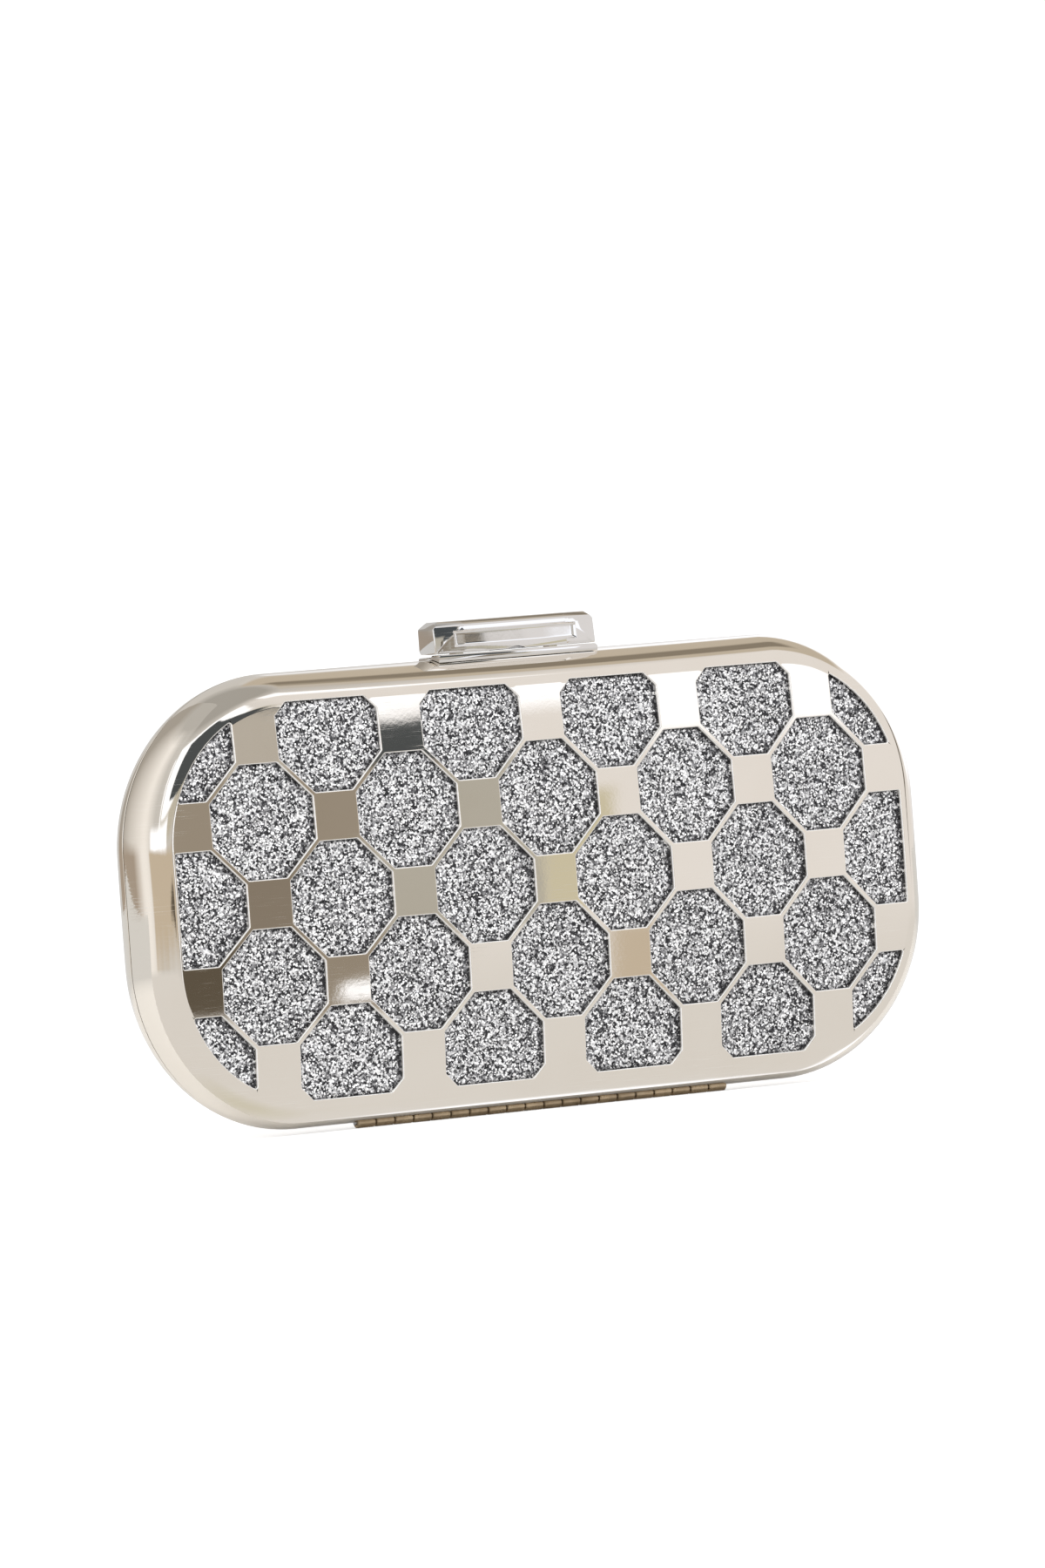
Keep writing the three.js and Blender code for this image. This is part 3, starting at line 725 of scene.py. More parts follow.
def flakeTree():
    tree = bpy.data.node_groups.new("glitter_flakes", "GeometryNodeTree")
    face = tree.interface
    face.new_socket("Geometry", in_out="INPUT", socket_type="NodeSocketGeometry")
    for name, kind in (("Per square metre", "NodeSocketFloat"), ("Flake radius", "NodeSocketFloat"),
                       ("Tilt", "NodeSocketFloat"), ("Lift", "NodeSocketFloat"), ("Seed", "NodeSocketInt"),
                       ("Material", "NodeSocketMaterial")):
        face.new_socket(name, in_out="INPUT", socket_type=kind)
    face.new_socket("Geometry", in_out="OUTPUT", socket_type="NodeSocketGeometry")
    given = tree.nodes.new("NodeGroupInput")
    bare = node(tree, "GeometryNodeInputNamedAttribute", {"data_type": "FLOAT"}, Name="bare")
    density = maths(tree, "MULTIPLY", given.outputs["Per square metre"], bare.outputs["Attribute"])
    spread = node(tree, "GeometryNodeDistributePointsOnFaces", {"distribute_method": "RANDOM"},
                  Mesh=given.outputs["Geometry"], Density=density, Seed=given.outputs["Seed"])
    flake = node(tree, "GeometryNodeMeshCircle", {"fill_type": "NGON"}, Vertices=cloth["flakeSides"],
                 Radius=given.outputs["Flake radius"])
    lean = node(tree, "ShaderNodeCombineXYZ", X=given.outputs["Tilt"], Y=given.outputs["Tilt"], Z=math.pi)
    unlean = node(tree, "ShaderNodeVectorMath", {"operation": "SCALE"}, i0=lean.outputs[0], Scale=-1.0)
    turned = node(tree, "FunctionNodeRandomValue", {"data_type": "FLOAT_VECTOR"}, Seed=3)
    tree.links.new(unlean.outputs[0], turned.inputs[0])
    tree.links.new(lean.outputs[0], turned.inputs[1])
    euler = node(tree, "FunctionNodeEulerToRotation", Euler=turned.outputs[0])
    rotation = node(tree, "FunctionNodeRotateRotation", {"rotation_space": "LOCAL"},
                    Rotation=spread.outputs["Rotation"])
    tree.links.new(euler.outputs[0], rotation.inputs[1])
    size = node(tree, "FunctionNodeRandomValue", {"data_type": "FLOAT"}, Seed=5)
    size.inputs[2].default_value = cloth["flakeSmallest"]
    size.inputs[3].default_value = cloth["flakeLargest"]
    tone = node(tree, "FunctionNodeRandomValue", {"data_type": "FLOAT"}, Seed=11)
    stored = node(tree, "GeometryNodeStoreNamedAttribute", {"data_type": "FLOAT", "domain": "POINT"},
                  Geometry=spread.outputs["Points"], Name="tone", Value=tone.outputs[1])
    lift = node(tree, "FunctionNodeRandomValue", {"data_type": "FLOAT"}, Seed=13)
    tree.links.new(given.outputs["Lift"], lift.inputs[3])
    lift.inputs[2].default_value = 0.0
    offset = node(tree, "ShaderNodeVectorMath", {"operation": "SCALE"}, i0=spread.outputs["Normal"])
    tree.links.new(lift.outputs[1], offset.inputs["Scale"])
    raised = node(tree, "GeometryNodeSetPosition", Geometry=stored.outputs[0], Offset=offset.outputs[0])
    placed = node(tree, "GeometryNodeInstanceOnPoints", Points=raised.outputs[0], Instance=flake.outputs[0],
                  Rotation=rotation.outputs[0], Scale=size.outputs[1])
    real = node(tree, "GeometryNodeRealizeInstances", Geometry=placed.outputs[0])
    painted = node(tree, "GeometryNodeSetMaterial", Geometry=real.outputs[0],
                   Material=given.outputs["Material"])
    result = tree.nodes.new("NodeGroupOutput")
    tree.links.new(painted.outputs[0], result.inputs[0])
    return tree


def socketId(tree, name):
    return next(item.identifier for item in tree.interface.items_tree
                if item.item_type == "SOCKET" and item.in_out == "INPUT" and item.name == name)


def runNodes(tree, name, carrier, **values):
    # the tree's result as a plain mesh object
    holder = bpy.data.objects.new(name, carrier)
    scene.collection.objects.link(holder)
    modifier = holder.modifiers.new("nodes", "NODES")
    modifier.node_group = tree
    for key, value in values.items():
        modifier[socketId(tree, key.replace("_", " "))] = value
    return applied(holder)


def paintShadeNearEdges(loose):
    # painted shade: flake tones are darkened close to the metal's window edges, the dark strip shifted so
    # that it is wider along the right-hand edges
    count = len(loose.data.vertices)
    co = np.zeros(count * 3, np.float32)
    loose.data.vertices.foreach_get("co", co)
    co = co.reshape(-1, 3) / mm
    tone = np.zeros(count, np.float32)
    loose.data.attributes["tone"].data.foreach_get("value", tone)
    x, z = co[:, 0] + cloth["shadeShift"], co[:, 2] - case["centreHeight"]
    inside = np.full(count, -np.inf)
    for window in faceWindows:
        reach = np.max([x * nx + z * nz - limit for nx, nz, limit in window["planes"]], axis=0)
        inside = np.maximum(inside, -reach)
    share = np.clip((inside - cloth["edgeFrom"]) / (cloth["edgeTo"] - cloth["edgeFrom"]), 0, 1)
    tone *= cloth["edgeShadeTone"] + (1 - cloth["edgeShadeTone"]) * share
    loose.data.attributes["tone"].data.foreach_set("value", tone)


flakes = flakeTree()
for half in halves:
    side = 1 if half == "rear" else -1
    panel = makePanel(half)
    co = np.array([v.co for v in panel.data.vertices]) / mm
    normal = np.array([v.normal for v in panel.data.vertices])
    bare = np.zeros(len(co))
    for window in faceWindows:
        bare[insideWindow(window, co[:, 0], co[:, 2] - case["centreHeight"], cloth["flakesReach"])] = 1
    bare[normal[:, 1] * side < cloth["leastFacing"]] = 0
    carrier = panel.data.copy()
    carrier.attributes.new("bare", "FLOAT", "POINT").data.foreach_set("value", bare.astype(np.float32))
    loose = runNodes(flakes, half + "_glitter_flakes", carrier, **{
        "Per square metre": cloth["flakesPerSquare"] / mm ** 2, "Flake radius": cloth["flakeRadius"] * mm,
        "Tilt": cloth["flakeTilt"], "Lift": cloth["flakeLift"] * mm, "Seed": cloth["seed"],
        "Material": flakeGlitter})
    # painted shade on the flakes along the window edges
    paintShadeNearEdges(loose)
    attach(loose, halves[half])
    putOn(panel, halves[half], clothGlitter, "glitter", half + "_glitter_cloth")
    print(half, "flakes", len(loose.data.polygons))

# ---- backing boards stay as they are, in paper

for half in halves:
    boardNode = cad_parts[half + "_backing_board"]
    boardNode.data.materials.clear()
    boardNode.data.materials.append(boardCard)

# ---- lining: a padded satin tray with a soft floor and pinched corners

lining = {
    "outer": 3.1, "inner": 4.1, "edgeDepth": 2.75, "floorInset": 9.4, "gridStep": 3.0,
    "outsideGridStep": 4.5, "outlineStep": 1.6, "insideRows": 18, "outsideRows": 12,
    "pleats": 46, "pleatHeight": 0.22, "pleatDrift": 1.3, "driftTurns": 7, "fill": 0.8,
}


def makeLining(half):
    made = startMesh()
    spine = outlineSpine(lining["outlineStep"])
    floor = lining["floorInset"]
    outer = rollRows(spine, lining["outer"], lining["edgeDepth"], floor, lining["outsideRows"])
    inner = rollRows(spine, lining["inner"], lining["edgeDepth"], floor, lining["insideRows"])
    core, out = spine
    count = len(core)
    along = np.linspace(0, 2 * math.pi, count, endpoint=False)
    # pinched where the satin is taken in at the corners, and smooth along the straights
    cornered = np.minimum(np.abs(out[:, 0]), np.abs(out[:, 1])) * 2
    drift = lining["pleatDrift"] * np.sin(along * lining["driftTurns"])
    wave = np.sin(along * lining["pleats"] + drift) * cornered
    rings = []
    for k, (points, normals) in enumerate(inner[::-1]):
        height = 1 - k / lining["insideRows"]  # 1 on the floor's edge, 0 at the mouth
        puff = lining["pleatHeight"] * wave * math.sin(math.pi * min(1, height * 1.02)) ** 0.7
        rings.append(addPoints(made, points - normals * puff[:, None]))
    rings += [addPoints(made, points) for points, _ in outer]
    for low, high in zip(rings, rings[1:]):
        for i in range(count):
            j = (i + 1) % count
            made["faces"].append((low[i], low[j], high[j], high[i]))
    addSkin(made, lining["inner"], spine, rings[0], lining["gridStep"], floor, -1)
    addSkin(made, lining["outer"], spine, rings[-1], lining["outsideGridStep"], floor, 1)
    made["normals"] = []
    piece = toObject(made, half + "_satin_tray", half == "rear", heightOfOrigin=case["centreHeight"])
    putOn(piece, halves[half], satin, "satin", half + "_lining")
    return piece


for half in halves:
    piece = makeLining(half)
print("linings", len(piece.data.polygons), "faces each")

# ---- mouth bands: a flat strip with softened edges, open at the hinge

band = {
    "outer": 1.4, "inner": 3.2, "near": 0.3, "far": 1.7, "soft": 0.2, "gapHalf": 48.6,
    "outlineStep": 2.2, "tolerance": 0.001,
}


def makeBand(half):
    made = startMesh()
    core, out = outlineSpine(band["outlineStep"], (-band["gapHalf"], band["gapHalf"]))
    under = out[:, 1] < -0.999
    keep = ~(under & (np.abs(core[:, 0]) < band["gapHalf"] - band["tolerance"]))
    start = int(np.argmax(under & (np.abs(core[:, 0] - band["gapHalf"]) < band["tolerance"])))
    order = [(start + i) % len(core) for i in range(len(core))]
    order = [i for i in order if keep[i]]
    core, out = core[order], out[order]
    section = []
    soft = band["soft"]
    low, high = band["outer"] + soft, band["inner"] - soft
    near, far = band["near"] + soft, band["far"] - soft
    corners = ((low, near, 180), (high, near, 270), (high, far, 0), (low, far, 90))
    for inset, depth, first in corners:
        for k in range(4):
            turn = math.radians(first + 30 * k)
            section.append((inset + soft * math.cos(turn), depth + soft * math.sin(turn),
                            math.cos(turn), math.sin(turn)))
    rings, normals = [], []
    for inset, depth, nIn, nDeep in section:
        flat = core + out * (case["cornerRadius"] - inset)
        points = np.stack([flat[:, 0], np.full(len(flat), -depth), flat[:, 1]], -1)
        rings.append(addPoints(made, points))
        normals.append(np.stack([-out[:, 0] * nIn, np.full(len(flat), -nDeep), -out[:, 1] * nIn], -1))
    count = len(section)
    for k in range(count):
        n = (k + 1) % count
        addBand(made, rings[n], rings[k], normals[n], normals[k], closed=False)
    for end, flip in ((0, True), (-1, False)):
        cap = [ring[end] for ring in rings]
        cap = cap if flip else cap[::-1]
        made["faces"].append(tuple(cap))
        across = np.array([-1.0 if flip else 1.0, 0, 0])
        made["normals"].extend([across] * count)
    piece = toObject(made, half + "_mouth_strip", half == "rear", heightOfOrigin=case["centreHeight"])
    return putOn(piece, halves[half], bandGold, "shell_metal", half + "_mouth_band")


for half in halves:
    makeBand(half)
print("mouth bands ready")

# ---- hinge: knuckles repeated along the pin, each leaf with its webs

hinge = {
    "count": 20, "pitch": 4.74, "gap": 0.36, "axisHeight": 1.2, "radius": 1.3, "top": 2.4, "edge": 0.2,
    "sides": 20, "leafReach": 4.5, "leafBottom": 3.35, "leafTop": 3.85, "leafShort": 0.12, "leafEdge": 0.1,
    "webInside": 0.2, "webOutside": 1.2, "webMiddle": 2.7, "webHeight": 1.5, "webShort": 0.02,
}
hingeHalf = hinge["count"] * hinge["pitch"] / 2


def ringSection(scale):
    # a knuckle's section: strip folded round the pin, flat underneath
    r = hinge["radius"]
    centre = hinge["axisHeight"]
    section = []
    for i in range(hinge["sides"]):
        turn = 2 * math.pi * i / hinge["sides"]
        y, z = r * math.cos(turn), r * math.sin(turn)
        z = max(-centre, min(z, hinge["top"] - centre))
        section.append((y * scale, z * scale))
    return section


def knuckleMesh(material):
    made = bmesh.new()
    length = hinge["pitch"] - hinge["gap"]
    shrunk = 1 - hinge["edge"] / hinge["radius"]
    stations = [(-length / 2, shrunk), (-length / 2 + hinge["edge"], 1), (length / 2 - hinge["edge"], 1),
                (length / 2, shrunk)]
    rings = []
    for x, scale in stations:
        rings.append([made.verts.new((x * mm, y * mm, (z + hinge["axisHeight"]) * mm))
                      for y, z in ringSection(scale)])
    for a, b in zip(rings, rings[1:]):
        for i in range(len(a)):
            j = (i + 1) % len(a)
            made.faces.new((a[i], b[i], b[j], a[j]))
    made.faces.new(rings[0])
    made.faces.new(rings[-1][::-1])
    bmesh.ops.recalc_face_normals(made, faces=made.faces[:])
    # the web that joins the knuckle to its leaf, on the front side
    block = bmesh.ops.create_cube(made, size=1.0)
    size = ((length - hinge["webShort"]) * mm, (hinge["webOutside"] - hinge["webInside"]) * mm,
            hinge["webHeight"] * mm)
    bmesh.ops.scale(made, vec=size, verts=block["verts"])
    centre = (0, -(hinge["webOutside"] + hinge["webInside"]) / 2 * mm, hinge["webMiddle"] * mm)
    bmesh.ops.translate(made, vec=centre, verts=block["verts"])
    mesh = bpy.data.meshes.new("knuckle")
    made.to_mesh(mesh)
    made.free()
    mesh.materials.append(material)
    for polygon in mesh.polygons:
        polygon.use_smooth = len(polygon.vertices) == 4 and abs(polygon.normal.x) < 0.3
    return mesh


def rowTree():
    # one object repeated at an even pitch along x
    tree = bpy.data.node_groups.new("even_row", "GeometryNodeTree")
    face = tree.interface
    face.new_socket("Geometry", in_out="INPUT", socket_type="NodeSocketGeometry")
    for name, kind in (("Count", "NodeSocketInt"), ("Pitch", "NodeSocketFloat"),
                       ("Start", "NodeSocketFloat"), ("Material", "NodeSocketMaterial")):
        face.new_socket(name, in_out="INPUT", socket_type=kind)
    face.new_socket("Geometry", in_out="OUTPUT", socket_type="NodeSocketGeometry")
    given = tree.nodes.new("NodeGroupInput")
    start = node(tree, "ShaderNodeCombineXYZ", X=given.outputs["Start"])
    step = node(tree, "ShaderNodeCombineXYZ", X=given.outputs["Pitch"])
    line = node(tree, "GeometryNodeMeshLine", {"mode": "OFFSET"}, Count=given.outputs["Count"],
                Offset=step.outputs[0])
    tree.links.new(start.outputs[0], line.inputs["Start Location"])
    placed = node(tree, "GeometryNodeInstanceOnPoints", Points=line.outputs[0],
                  Instance=given.outputs["Geometry"])
    real = node(tree, "GeometryNodeRealizeInstances", Geometry=placed.outputs[0])
    painted = node(tree, "GeometryNodeSetMaterial", Geometry=real.outputs[0],
                   Material=given.outputs["Material"])
    result = tree.nodes.new("NodeGroupOutput")
    tree.links.new(painted.outputs[0], result.inputs[0])
    return tree


def roundedBlock(made, low, high, edge, segments=2):
    block = bmesh.ops.create_cube(made, size=1.0)["verts"]
    low, high = Vector(low) * mm, Vector(high) * mm
    bmesh.ops.scale(made, vec=high - low, verts=block)
    bmesh.ops.translate(made, vec=(low + high) / 2, verts=block)
    edges = list({e for v in block for e in v.link_edges})
    if edge:
        bmesh.ops.bevel(made, geom=edges, offset=edge * mm, segments=segments, profile=0.5, affect="EDGES")


def meshOf(made, name, smoothAngle=None):
    mesh = bpy.data.meshes.new(name)
    made.to_mesh(mesh)
    made.free()
    if smoothAngle is not None:
        mesh.polygons.foreach_set("use_smooth", [True] * len(mesh.polygons))
        mesh.set_sharp_from_angle(angle=math.radians(smoothAngle))
    return mesh


def objectOf(mesh, name):
    piece = bpy.data.objects.new(name, mesh)
    scene.collection.objects.link(piece)
    return piece


def joined(name, *pieces):
    # one mesh from several, each as it lies
    made = bmesh.new()
    for piece in pieces:
        copy = piece.data.copy()
        made.from_mesh(copy)
        bpy.data.meshes.remove(copy)
    mesh = bpy.data.meshes.new(name)
    made.to_mesh(mesh)
    made.free()
    for piece in pieces:
        bpy.data.objects.remove(piece)
    return objectOf(mesh, name)


row = rowTree()
for half in halves:
    turned = -1 if half == "rear" else 1
    knuckle = knuckleMesh(hingeGold)
    if half == "rear":
        knuckle.transform(Matrix.Diagonal((1, -1, 1, 1)))
        knuckle.flip_normals()
    first = 1 if half == "rear" else 0
    knuckles = runNodes(row, half + "_knuckles", knuckle, **{
        "Count": hinge["count"] // 2, "Pitch": 2 * hinge["pitch"] * mm,
        "Start": (-hingeHalf + (first + 0.5) * hinge["pitch"]) * mm, "Material": hingeGold})
    made = bmesh.new()
    reach = sorted((-turned * hinge["leafReach"], -turned * hinge["webInside"]))
    leafHalf = hingeHalf - hinge["leafShort"]
    roundedBlock(made, (-leafHalf, reach[0], hinge["leafBottom"]), (leafHalf, reach[1], hinge["leafTop"]),
                 hinge["leafEdge"])
    leaf = objectOf(meshOf(made, "leaf", 40), "leaf")
    leafPiece = joined(half + "_hinge", knuckles, leaf)
    putOn(leafPiece, halves[half], hingeGold, "hinge_metal", half + "_hinge_leaf")
print("hinge ready")

pin = {"radius": 0.55, "overhang": 0.3, "claspRadius": 0.65, "claspHalf": 15.0}


def rodAlongX(made, radius, x0, x1, y, z, sides=20, edge=0.12):
    rings = []
    for x, r in ((x0, radius - edge), (x0 + edge, radius), (x1 - edge, radius), (x1, radius - edge)):
        turns = [2 * math.pi * i / sides for i in range(sides)]
        rings.append([made.verts.new((x * mm, (y + r * math.cos(turn)) * mm, (z + r * math.sin(turn)) * mm))
                      for turn in turns])
    for a, b in zip(rings, rings[1:]):
        for i in range(sides):
            j = (i + 1) % sides
            made.faces.new((a[i], b[i], b[j], a[j]))
    made.faces.new(rings[0])
    made.faces.new(rings[-1][::-1])


def finishedRod(name, *args, **more):
    made = bmesh.new()
    rodAlongX(made, *args, **more)
    bmesh.ops.recalc_face_normals(made, faces=made.faces[:])
    return objectOf(meshOf(made, name, 35), name)


pinHalf = hingeHalf + pin["overhang"]
piece = finishedRod("hinge_wire", pin["radius"], -pinHalf, pinHalf, 0, hinge["axisHeight"])
putOn(piece, "rear_half", pinSteel, "steel", "hinge_pin")

# ---- clasp: the lifting bar, its catch and bracket, and the small parts inside

bar = {
    "half": 20.45, "front": -3.5, "rear": 3.9, "bottom": 100.9, "top": 107.9, "edge": 1.2,
    "frontEdge": 0.96, "heel": 0.6, "endCut": 1.5, "lean": 0.32, "rounding": 0.28,
    "straightHalf": 13.0, "bow": 0.42, "bowLow": 0.6, "bowRise": 0.8, "sharp": 32,
    "notchRadius": 5.2, "notchHeight": 0.6, "notchFrom": -5.0, "notchDepth": 2.1, "notchSides": 64,
    "earX": 12.0, "pivotY": 2.2, "pivotZ": 102.2,
}
sunkPanel = {
    "half": 15.6, "low": 102.15, "high": 105.75, "depth": 0.5, "crown": 0.34, "endRamp": 1.0,
    "sideRamp": 3, "proud": 0.02, "front": -5.5, "columns": 64, "rows": 20,
}
# what is cut out underneath, as opposite corners
slots = {
    "left ear": ((-13.3, 0.6, 99), (-10.7, 5, 103.9)), "right ear": ((10.7, 0.6, 99), (13.3, 5, 103.9)),
    "spring": ((-3.2, 0.3, 99), (3.2, 5, 104.2)), "tongue": ((-6.6, -2.9, 99), (6.6, -0.3, 102.1)),
}


def hullOf(points):
    made = bmesh.new()
    for p in points:
        made.verts.new(tuple(c * mm for c in p))
    bmesh.ops.convex_hull(made, input=made.verts[:])
    bmesh.ops.dissolve_limit(made, angle_limit=math.radians(1), verts=made.verts[:], edges=made.edges[:])
    bmesh.ops.recalc_face_normals(made, faces=made.faces[:])
    return made


def barSection():
    lean = bar["lean"]
    return [
        (bar["front"], bar["bottom"]), (bar["rear"] - bar["heel"], bar["bottom"]),
        (bar["rear"], bar["bottom"] + bar["heel"]), (bar["rear"], bar["top"] - bar["edge"]),
        (bar["rear"] - bar["edge"], bar["top"]), (bar["front"] + lean + bar["edge"], bar["top"]),
        (bar["front"] + lean, bar["top"] - bar["frontEdge"]),
    ]


def cutBy(piece, cutter, operation="DIFFERENCE"):
    modifier = piece.modifiers.new("cut", "BOOLEAN")
    modifier.operation = operation
    modifier.solver = "EXACT"
    modifier.object = cutter
    applied(piece)
    bpy.data.objects.remove(cutter)
    return piece


def faceLean(z):
    return bar["lean"] * (z - bar["bottom"]) / (bar["top"] - bar["frontEdge"] - bar["bottom"])


def faceBow(x, z):
    # the front turns back a little towards both ends, and more at the top
    share = max(0.0, abs(x) - bar["straightHalf"]) / (bar["half"] - bar["straightHalf"])
    height = (z - bar["bottom"]) / (bar["top"] - bar["bottom"])
    return bar["bow"] * share * (bar["bowLow"] + bar["bowRise"] * height)


def makeBar():
    # the block, its ends cut off slanting at the top
    low = bar["top"] - bar["endCut"]
    corners = barSection() + [(bar["front"] + faceLean(low), low), (bar["rear"], low)]
    points = []
    for y, z in corners:
        for side in (-1, 1):
            reach = side * (bar["half"] - max(0.0, z - low))
            points.append((reach, y + (faceBow(reach, z) if y < 0 else 0), z))
            points.append((side * bar["straightHalf"], y, z))
    block = hullOf(points)
    bmesh.ops.bevel(block, geom=block.edges[:], offset=bar["rounding"] * mm, segments=3, profile=0.5,
                    affect="EDGES", clamp_overlap=True)
    piece = objectOf(meshOf(block, "clasp_bar_block", 40), "clasp_lifting_bar")
    # underside slots for the ears, the spring and the tongue
    for low, high in slots.values():
        made = bmesh.new()
        roundedBlock(made, low, high, 0)
        cutBy(piece, objectOf(meshOf(made, "slot"), "slot"))
    # finger notch under the front edge
    made = bmesh.new()
    radius = bar["notchRadius"]
    middle = bar["bottom"] + bar["notchHeight"] - radius
    turns = [2 * math.pi * i / bar["notchSides"] for i in range(bar["notchSides"])]
    disc = [made.verts.new((radius * math.cos(turn) * mm, bar["notchFrom"] * mm,
                            (middle + radius * math.sin(turn)) * mm)) for turn in turns]
    face = made.faces.new(disc)
    moved = bmesh.ops.extrude_face_region(made, geom=[face])
    movedVerts = [v for v in moved["geom"] if isinstance(v, bmesh.types.BMVert)]
    bmesh.ops.translate(made, vec=(0, bar["notchDepth"] * mm, 0), verts=movedVerts)
    bmesh.ops.recalc_face_normals(made, faces=made.faces[:])
    cutBy(piece, objectOf(meshOf(made, "notch"), "notch"))
    # sunk front panel with rounded ends and a slightly crowned floor
    cutBy(piece, panelCutter())
    piece.data.polygons.foreach_set("use_smooth", [True] * len(piece.data.polygons))
    piece.data.set_sharp_from_angle(angle=math.radians(bar["sharp"]))
    return putOn(piece, "clasp_lever", claspSilver, "clasp_metal", "clasp_bar")


def panelCutter():
    # the panel's floor as a grid, closed in front of the bar
    columns, rows = sunkPanel["columns"], sunkPanel["rows"]
    middle, reach = (sunkPanel["low"] + sunkPanel["high"]) / 2, (sunkPanel["high"] - sunkPanel["low"]) / 2
    made = startMesh()
    grid, front = [], []
    for i in range(columns + 1):
        s = -1 + 2 * i / columns
        x = sunkPanel["half"] * math.sin(s * math.pi / 2)
        u = abs(x) / sunkPanel["half"]
        ends = min(1.0, (sunkPanel["half"] - abs(x)) / sunkPanel["endRamp"])
        line, lineFront = [], []
        for k in range(rows + 1):
            t = -1 + 2 * k / rows
            z = middle + reach * math.sin(t * math.pi / 2)
            sides = min(1.0, (1 - abs(z - middle) / reach) * sunkPanel["sideRamp"])
            ramp = math.sin(max(0.0, ends) * math.pi / 2) * math.sin(max(0.0, sides) * math.pi / 2)
            face = bar["front"] + faceLean(z) + faceBow(x, z)
            floor = face + (sunkPanel["depth"] - sunkPanel["crown"] * (1 - u ** 3)) * ramp
            line.append((x, floor - (sunkPanel["proud"] if ramp < 1e-6 else 0), z))
            lineFront.append((x, sunkPanel["front"], z))
        grid.append(addPoints(made, line))
        front.append(addPoints(made, lineFront))
    for i in range(columns):
        for k in range(rows):
            made["faces"].append((grid[i][k], grid[i][k + 1], grid[i + 1][k + 1], grid[i + 1][k]))
            made["faces"].append((front[i][k], front[i + 1][k], front[i + 1][k + 1], front[i][k + 1]))
    for i in range(columns):
        made["faces"].append((grid[i][0], grid[i + 1][0], front[i + 1][0], front[i][0]))
        made["faces"].append((grid[i][rows], front[i][rows], front[i + 1][rows], grid[i + 1][rows]))
    for k in range(rows):
        made["faces"].append((grid[0][k], front[0][k], front[0][k + 1], grid[0][k + 1]))
        made["faces"].append((grid[columns][k], grid[columns][k + 1],
                              front[columns][k + 1], front[columns][k]))
    cutter = toObject(made, "panel_cutter", smooth=False)
    fixed = bmesh.new()
    fixed.from_mesh(cutter.data)
    bmesh.ops.recalc_face_normals(fixed, faces=fixed.faces[:])
    fixed.to_mesh(cutter.data)
    fixed.free()
    return cutter


makeBar()


strip = {
    "length": 40.5, "near": 0.3, "bottom": 97.0, "shoulder": 99.6, "rounding": 0.14, "gap": 0.12,
    "cutterStep": 2.0, "cutterRows": 18, "cutterBack": 3.0,
    "catch": {"top": 100.7, "endCut": 0.5, "far": 4.3, "farBelow": 3.6},
    "bracket": {"top": 100.3, "endCut": 0.3, "far": 4.7, "farBelow": 4.2},
}


def caseCutter(front):
    # the case's outer body moved out by a little, to cut what sits on its rim
    made = startMesh()
    spine = outlineSpine(strip["cutterStep"])
    rows = []
    for k in range(strip["cutterRows"] + 1):
        turn = math.pi / 2 * k / strip["cutterRows"]
        inset = case["rimWidth"] * (1 - math.cos(turn))
        flat = ringAt(spine, inset)
        points, normals = surfaceAt(0.0, flat[:, 0], flat[:, 1], spine[1])
        rows.append(points + normals * strip["gap"])
    start = rows[0].copy()
    start[:, 1] = strip["cutterBack"]
    rings = [addPoints(made, start)] + [addPoints(made, points) for points in rows]
    for k in range(len(rings) - 1):
        for i in range(len(spine[0])):
            j = (i + 1) % len(spine[0])
            made["faces"].append((rings[k][i], rings[k][j], rings[k + 1][j], rings[k + 1][i]))
    made["faces"].append(tuple(rings[-1]))
    made["faces"].append(tuple(rings[0][::-1]))
    return toObject(made, "case_cutter", not front, smooth=False, heightOfOrigin=case["centreHeight"])


def makeStrip(name, shape, front):
    # a strip along the rim, its ends cut off slanting at the top
    side = 1 if front else -1
    half = strip["length"] / 2
    top, cut = shape["top"], shape["endCut"]
    section = [(-strip["near"], strip["bottom"]), (-strip["near"], top), (-shape["far"], top),
               (-shape["far"], strip["shoulder"]), (-shape["farBelow"], strip["bottom"])]
    points = []
    for y, z in section:
        reach = half - max(0.0, z - (top - cut))
        points += [(-reach, side * y, z), (reach, side * y, z)]
        points += [(-half, side * y, min(z, top - cut)), (half, side * y, min(z, top - cut))]
    block = hullOf(points)
    bmesh.ops.bevel(block, geom=block.edges[:], offset=strip["rounding"] * mm, segments=2, profile=0.5,
                    affect="EDGES", clamp_overlap=True)
    piece = objectOf(meshOf(block, name, 40), name)
    cutBy(piece, caseCutter(front))
    piece.data.polygons.foreach_set("use_smooth", [True] * len(piece.data.polygons))
    piece.data.set_sharp_from_angle(angle=math.radians(bar["sharp"]))
    return piece


catch = makeStrip("clasp_catch_strip", strip["catch"], True)
putOn(catch, "front_half", claspSilver, "clasp_metal", "clasp_catch")
bracket = makeStrip("bracket_strip", strip["bracket"], False)
ear = {"radius": 1.3, "bottom": 99.9, "halfWidth": 1.0, "step": 15}
earFront, earBack = bar["pivotY"] - ear["radius"], bar["pivotY"] + ear["radius"]
made = bmesh.new()
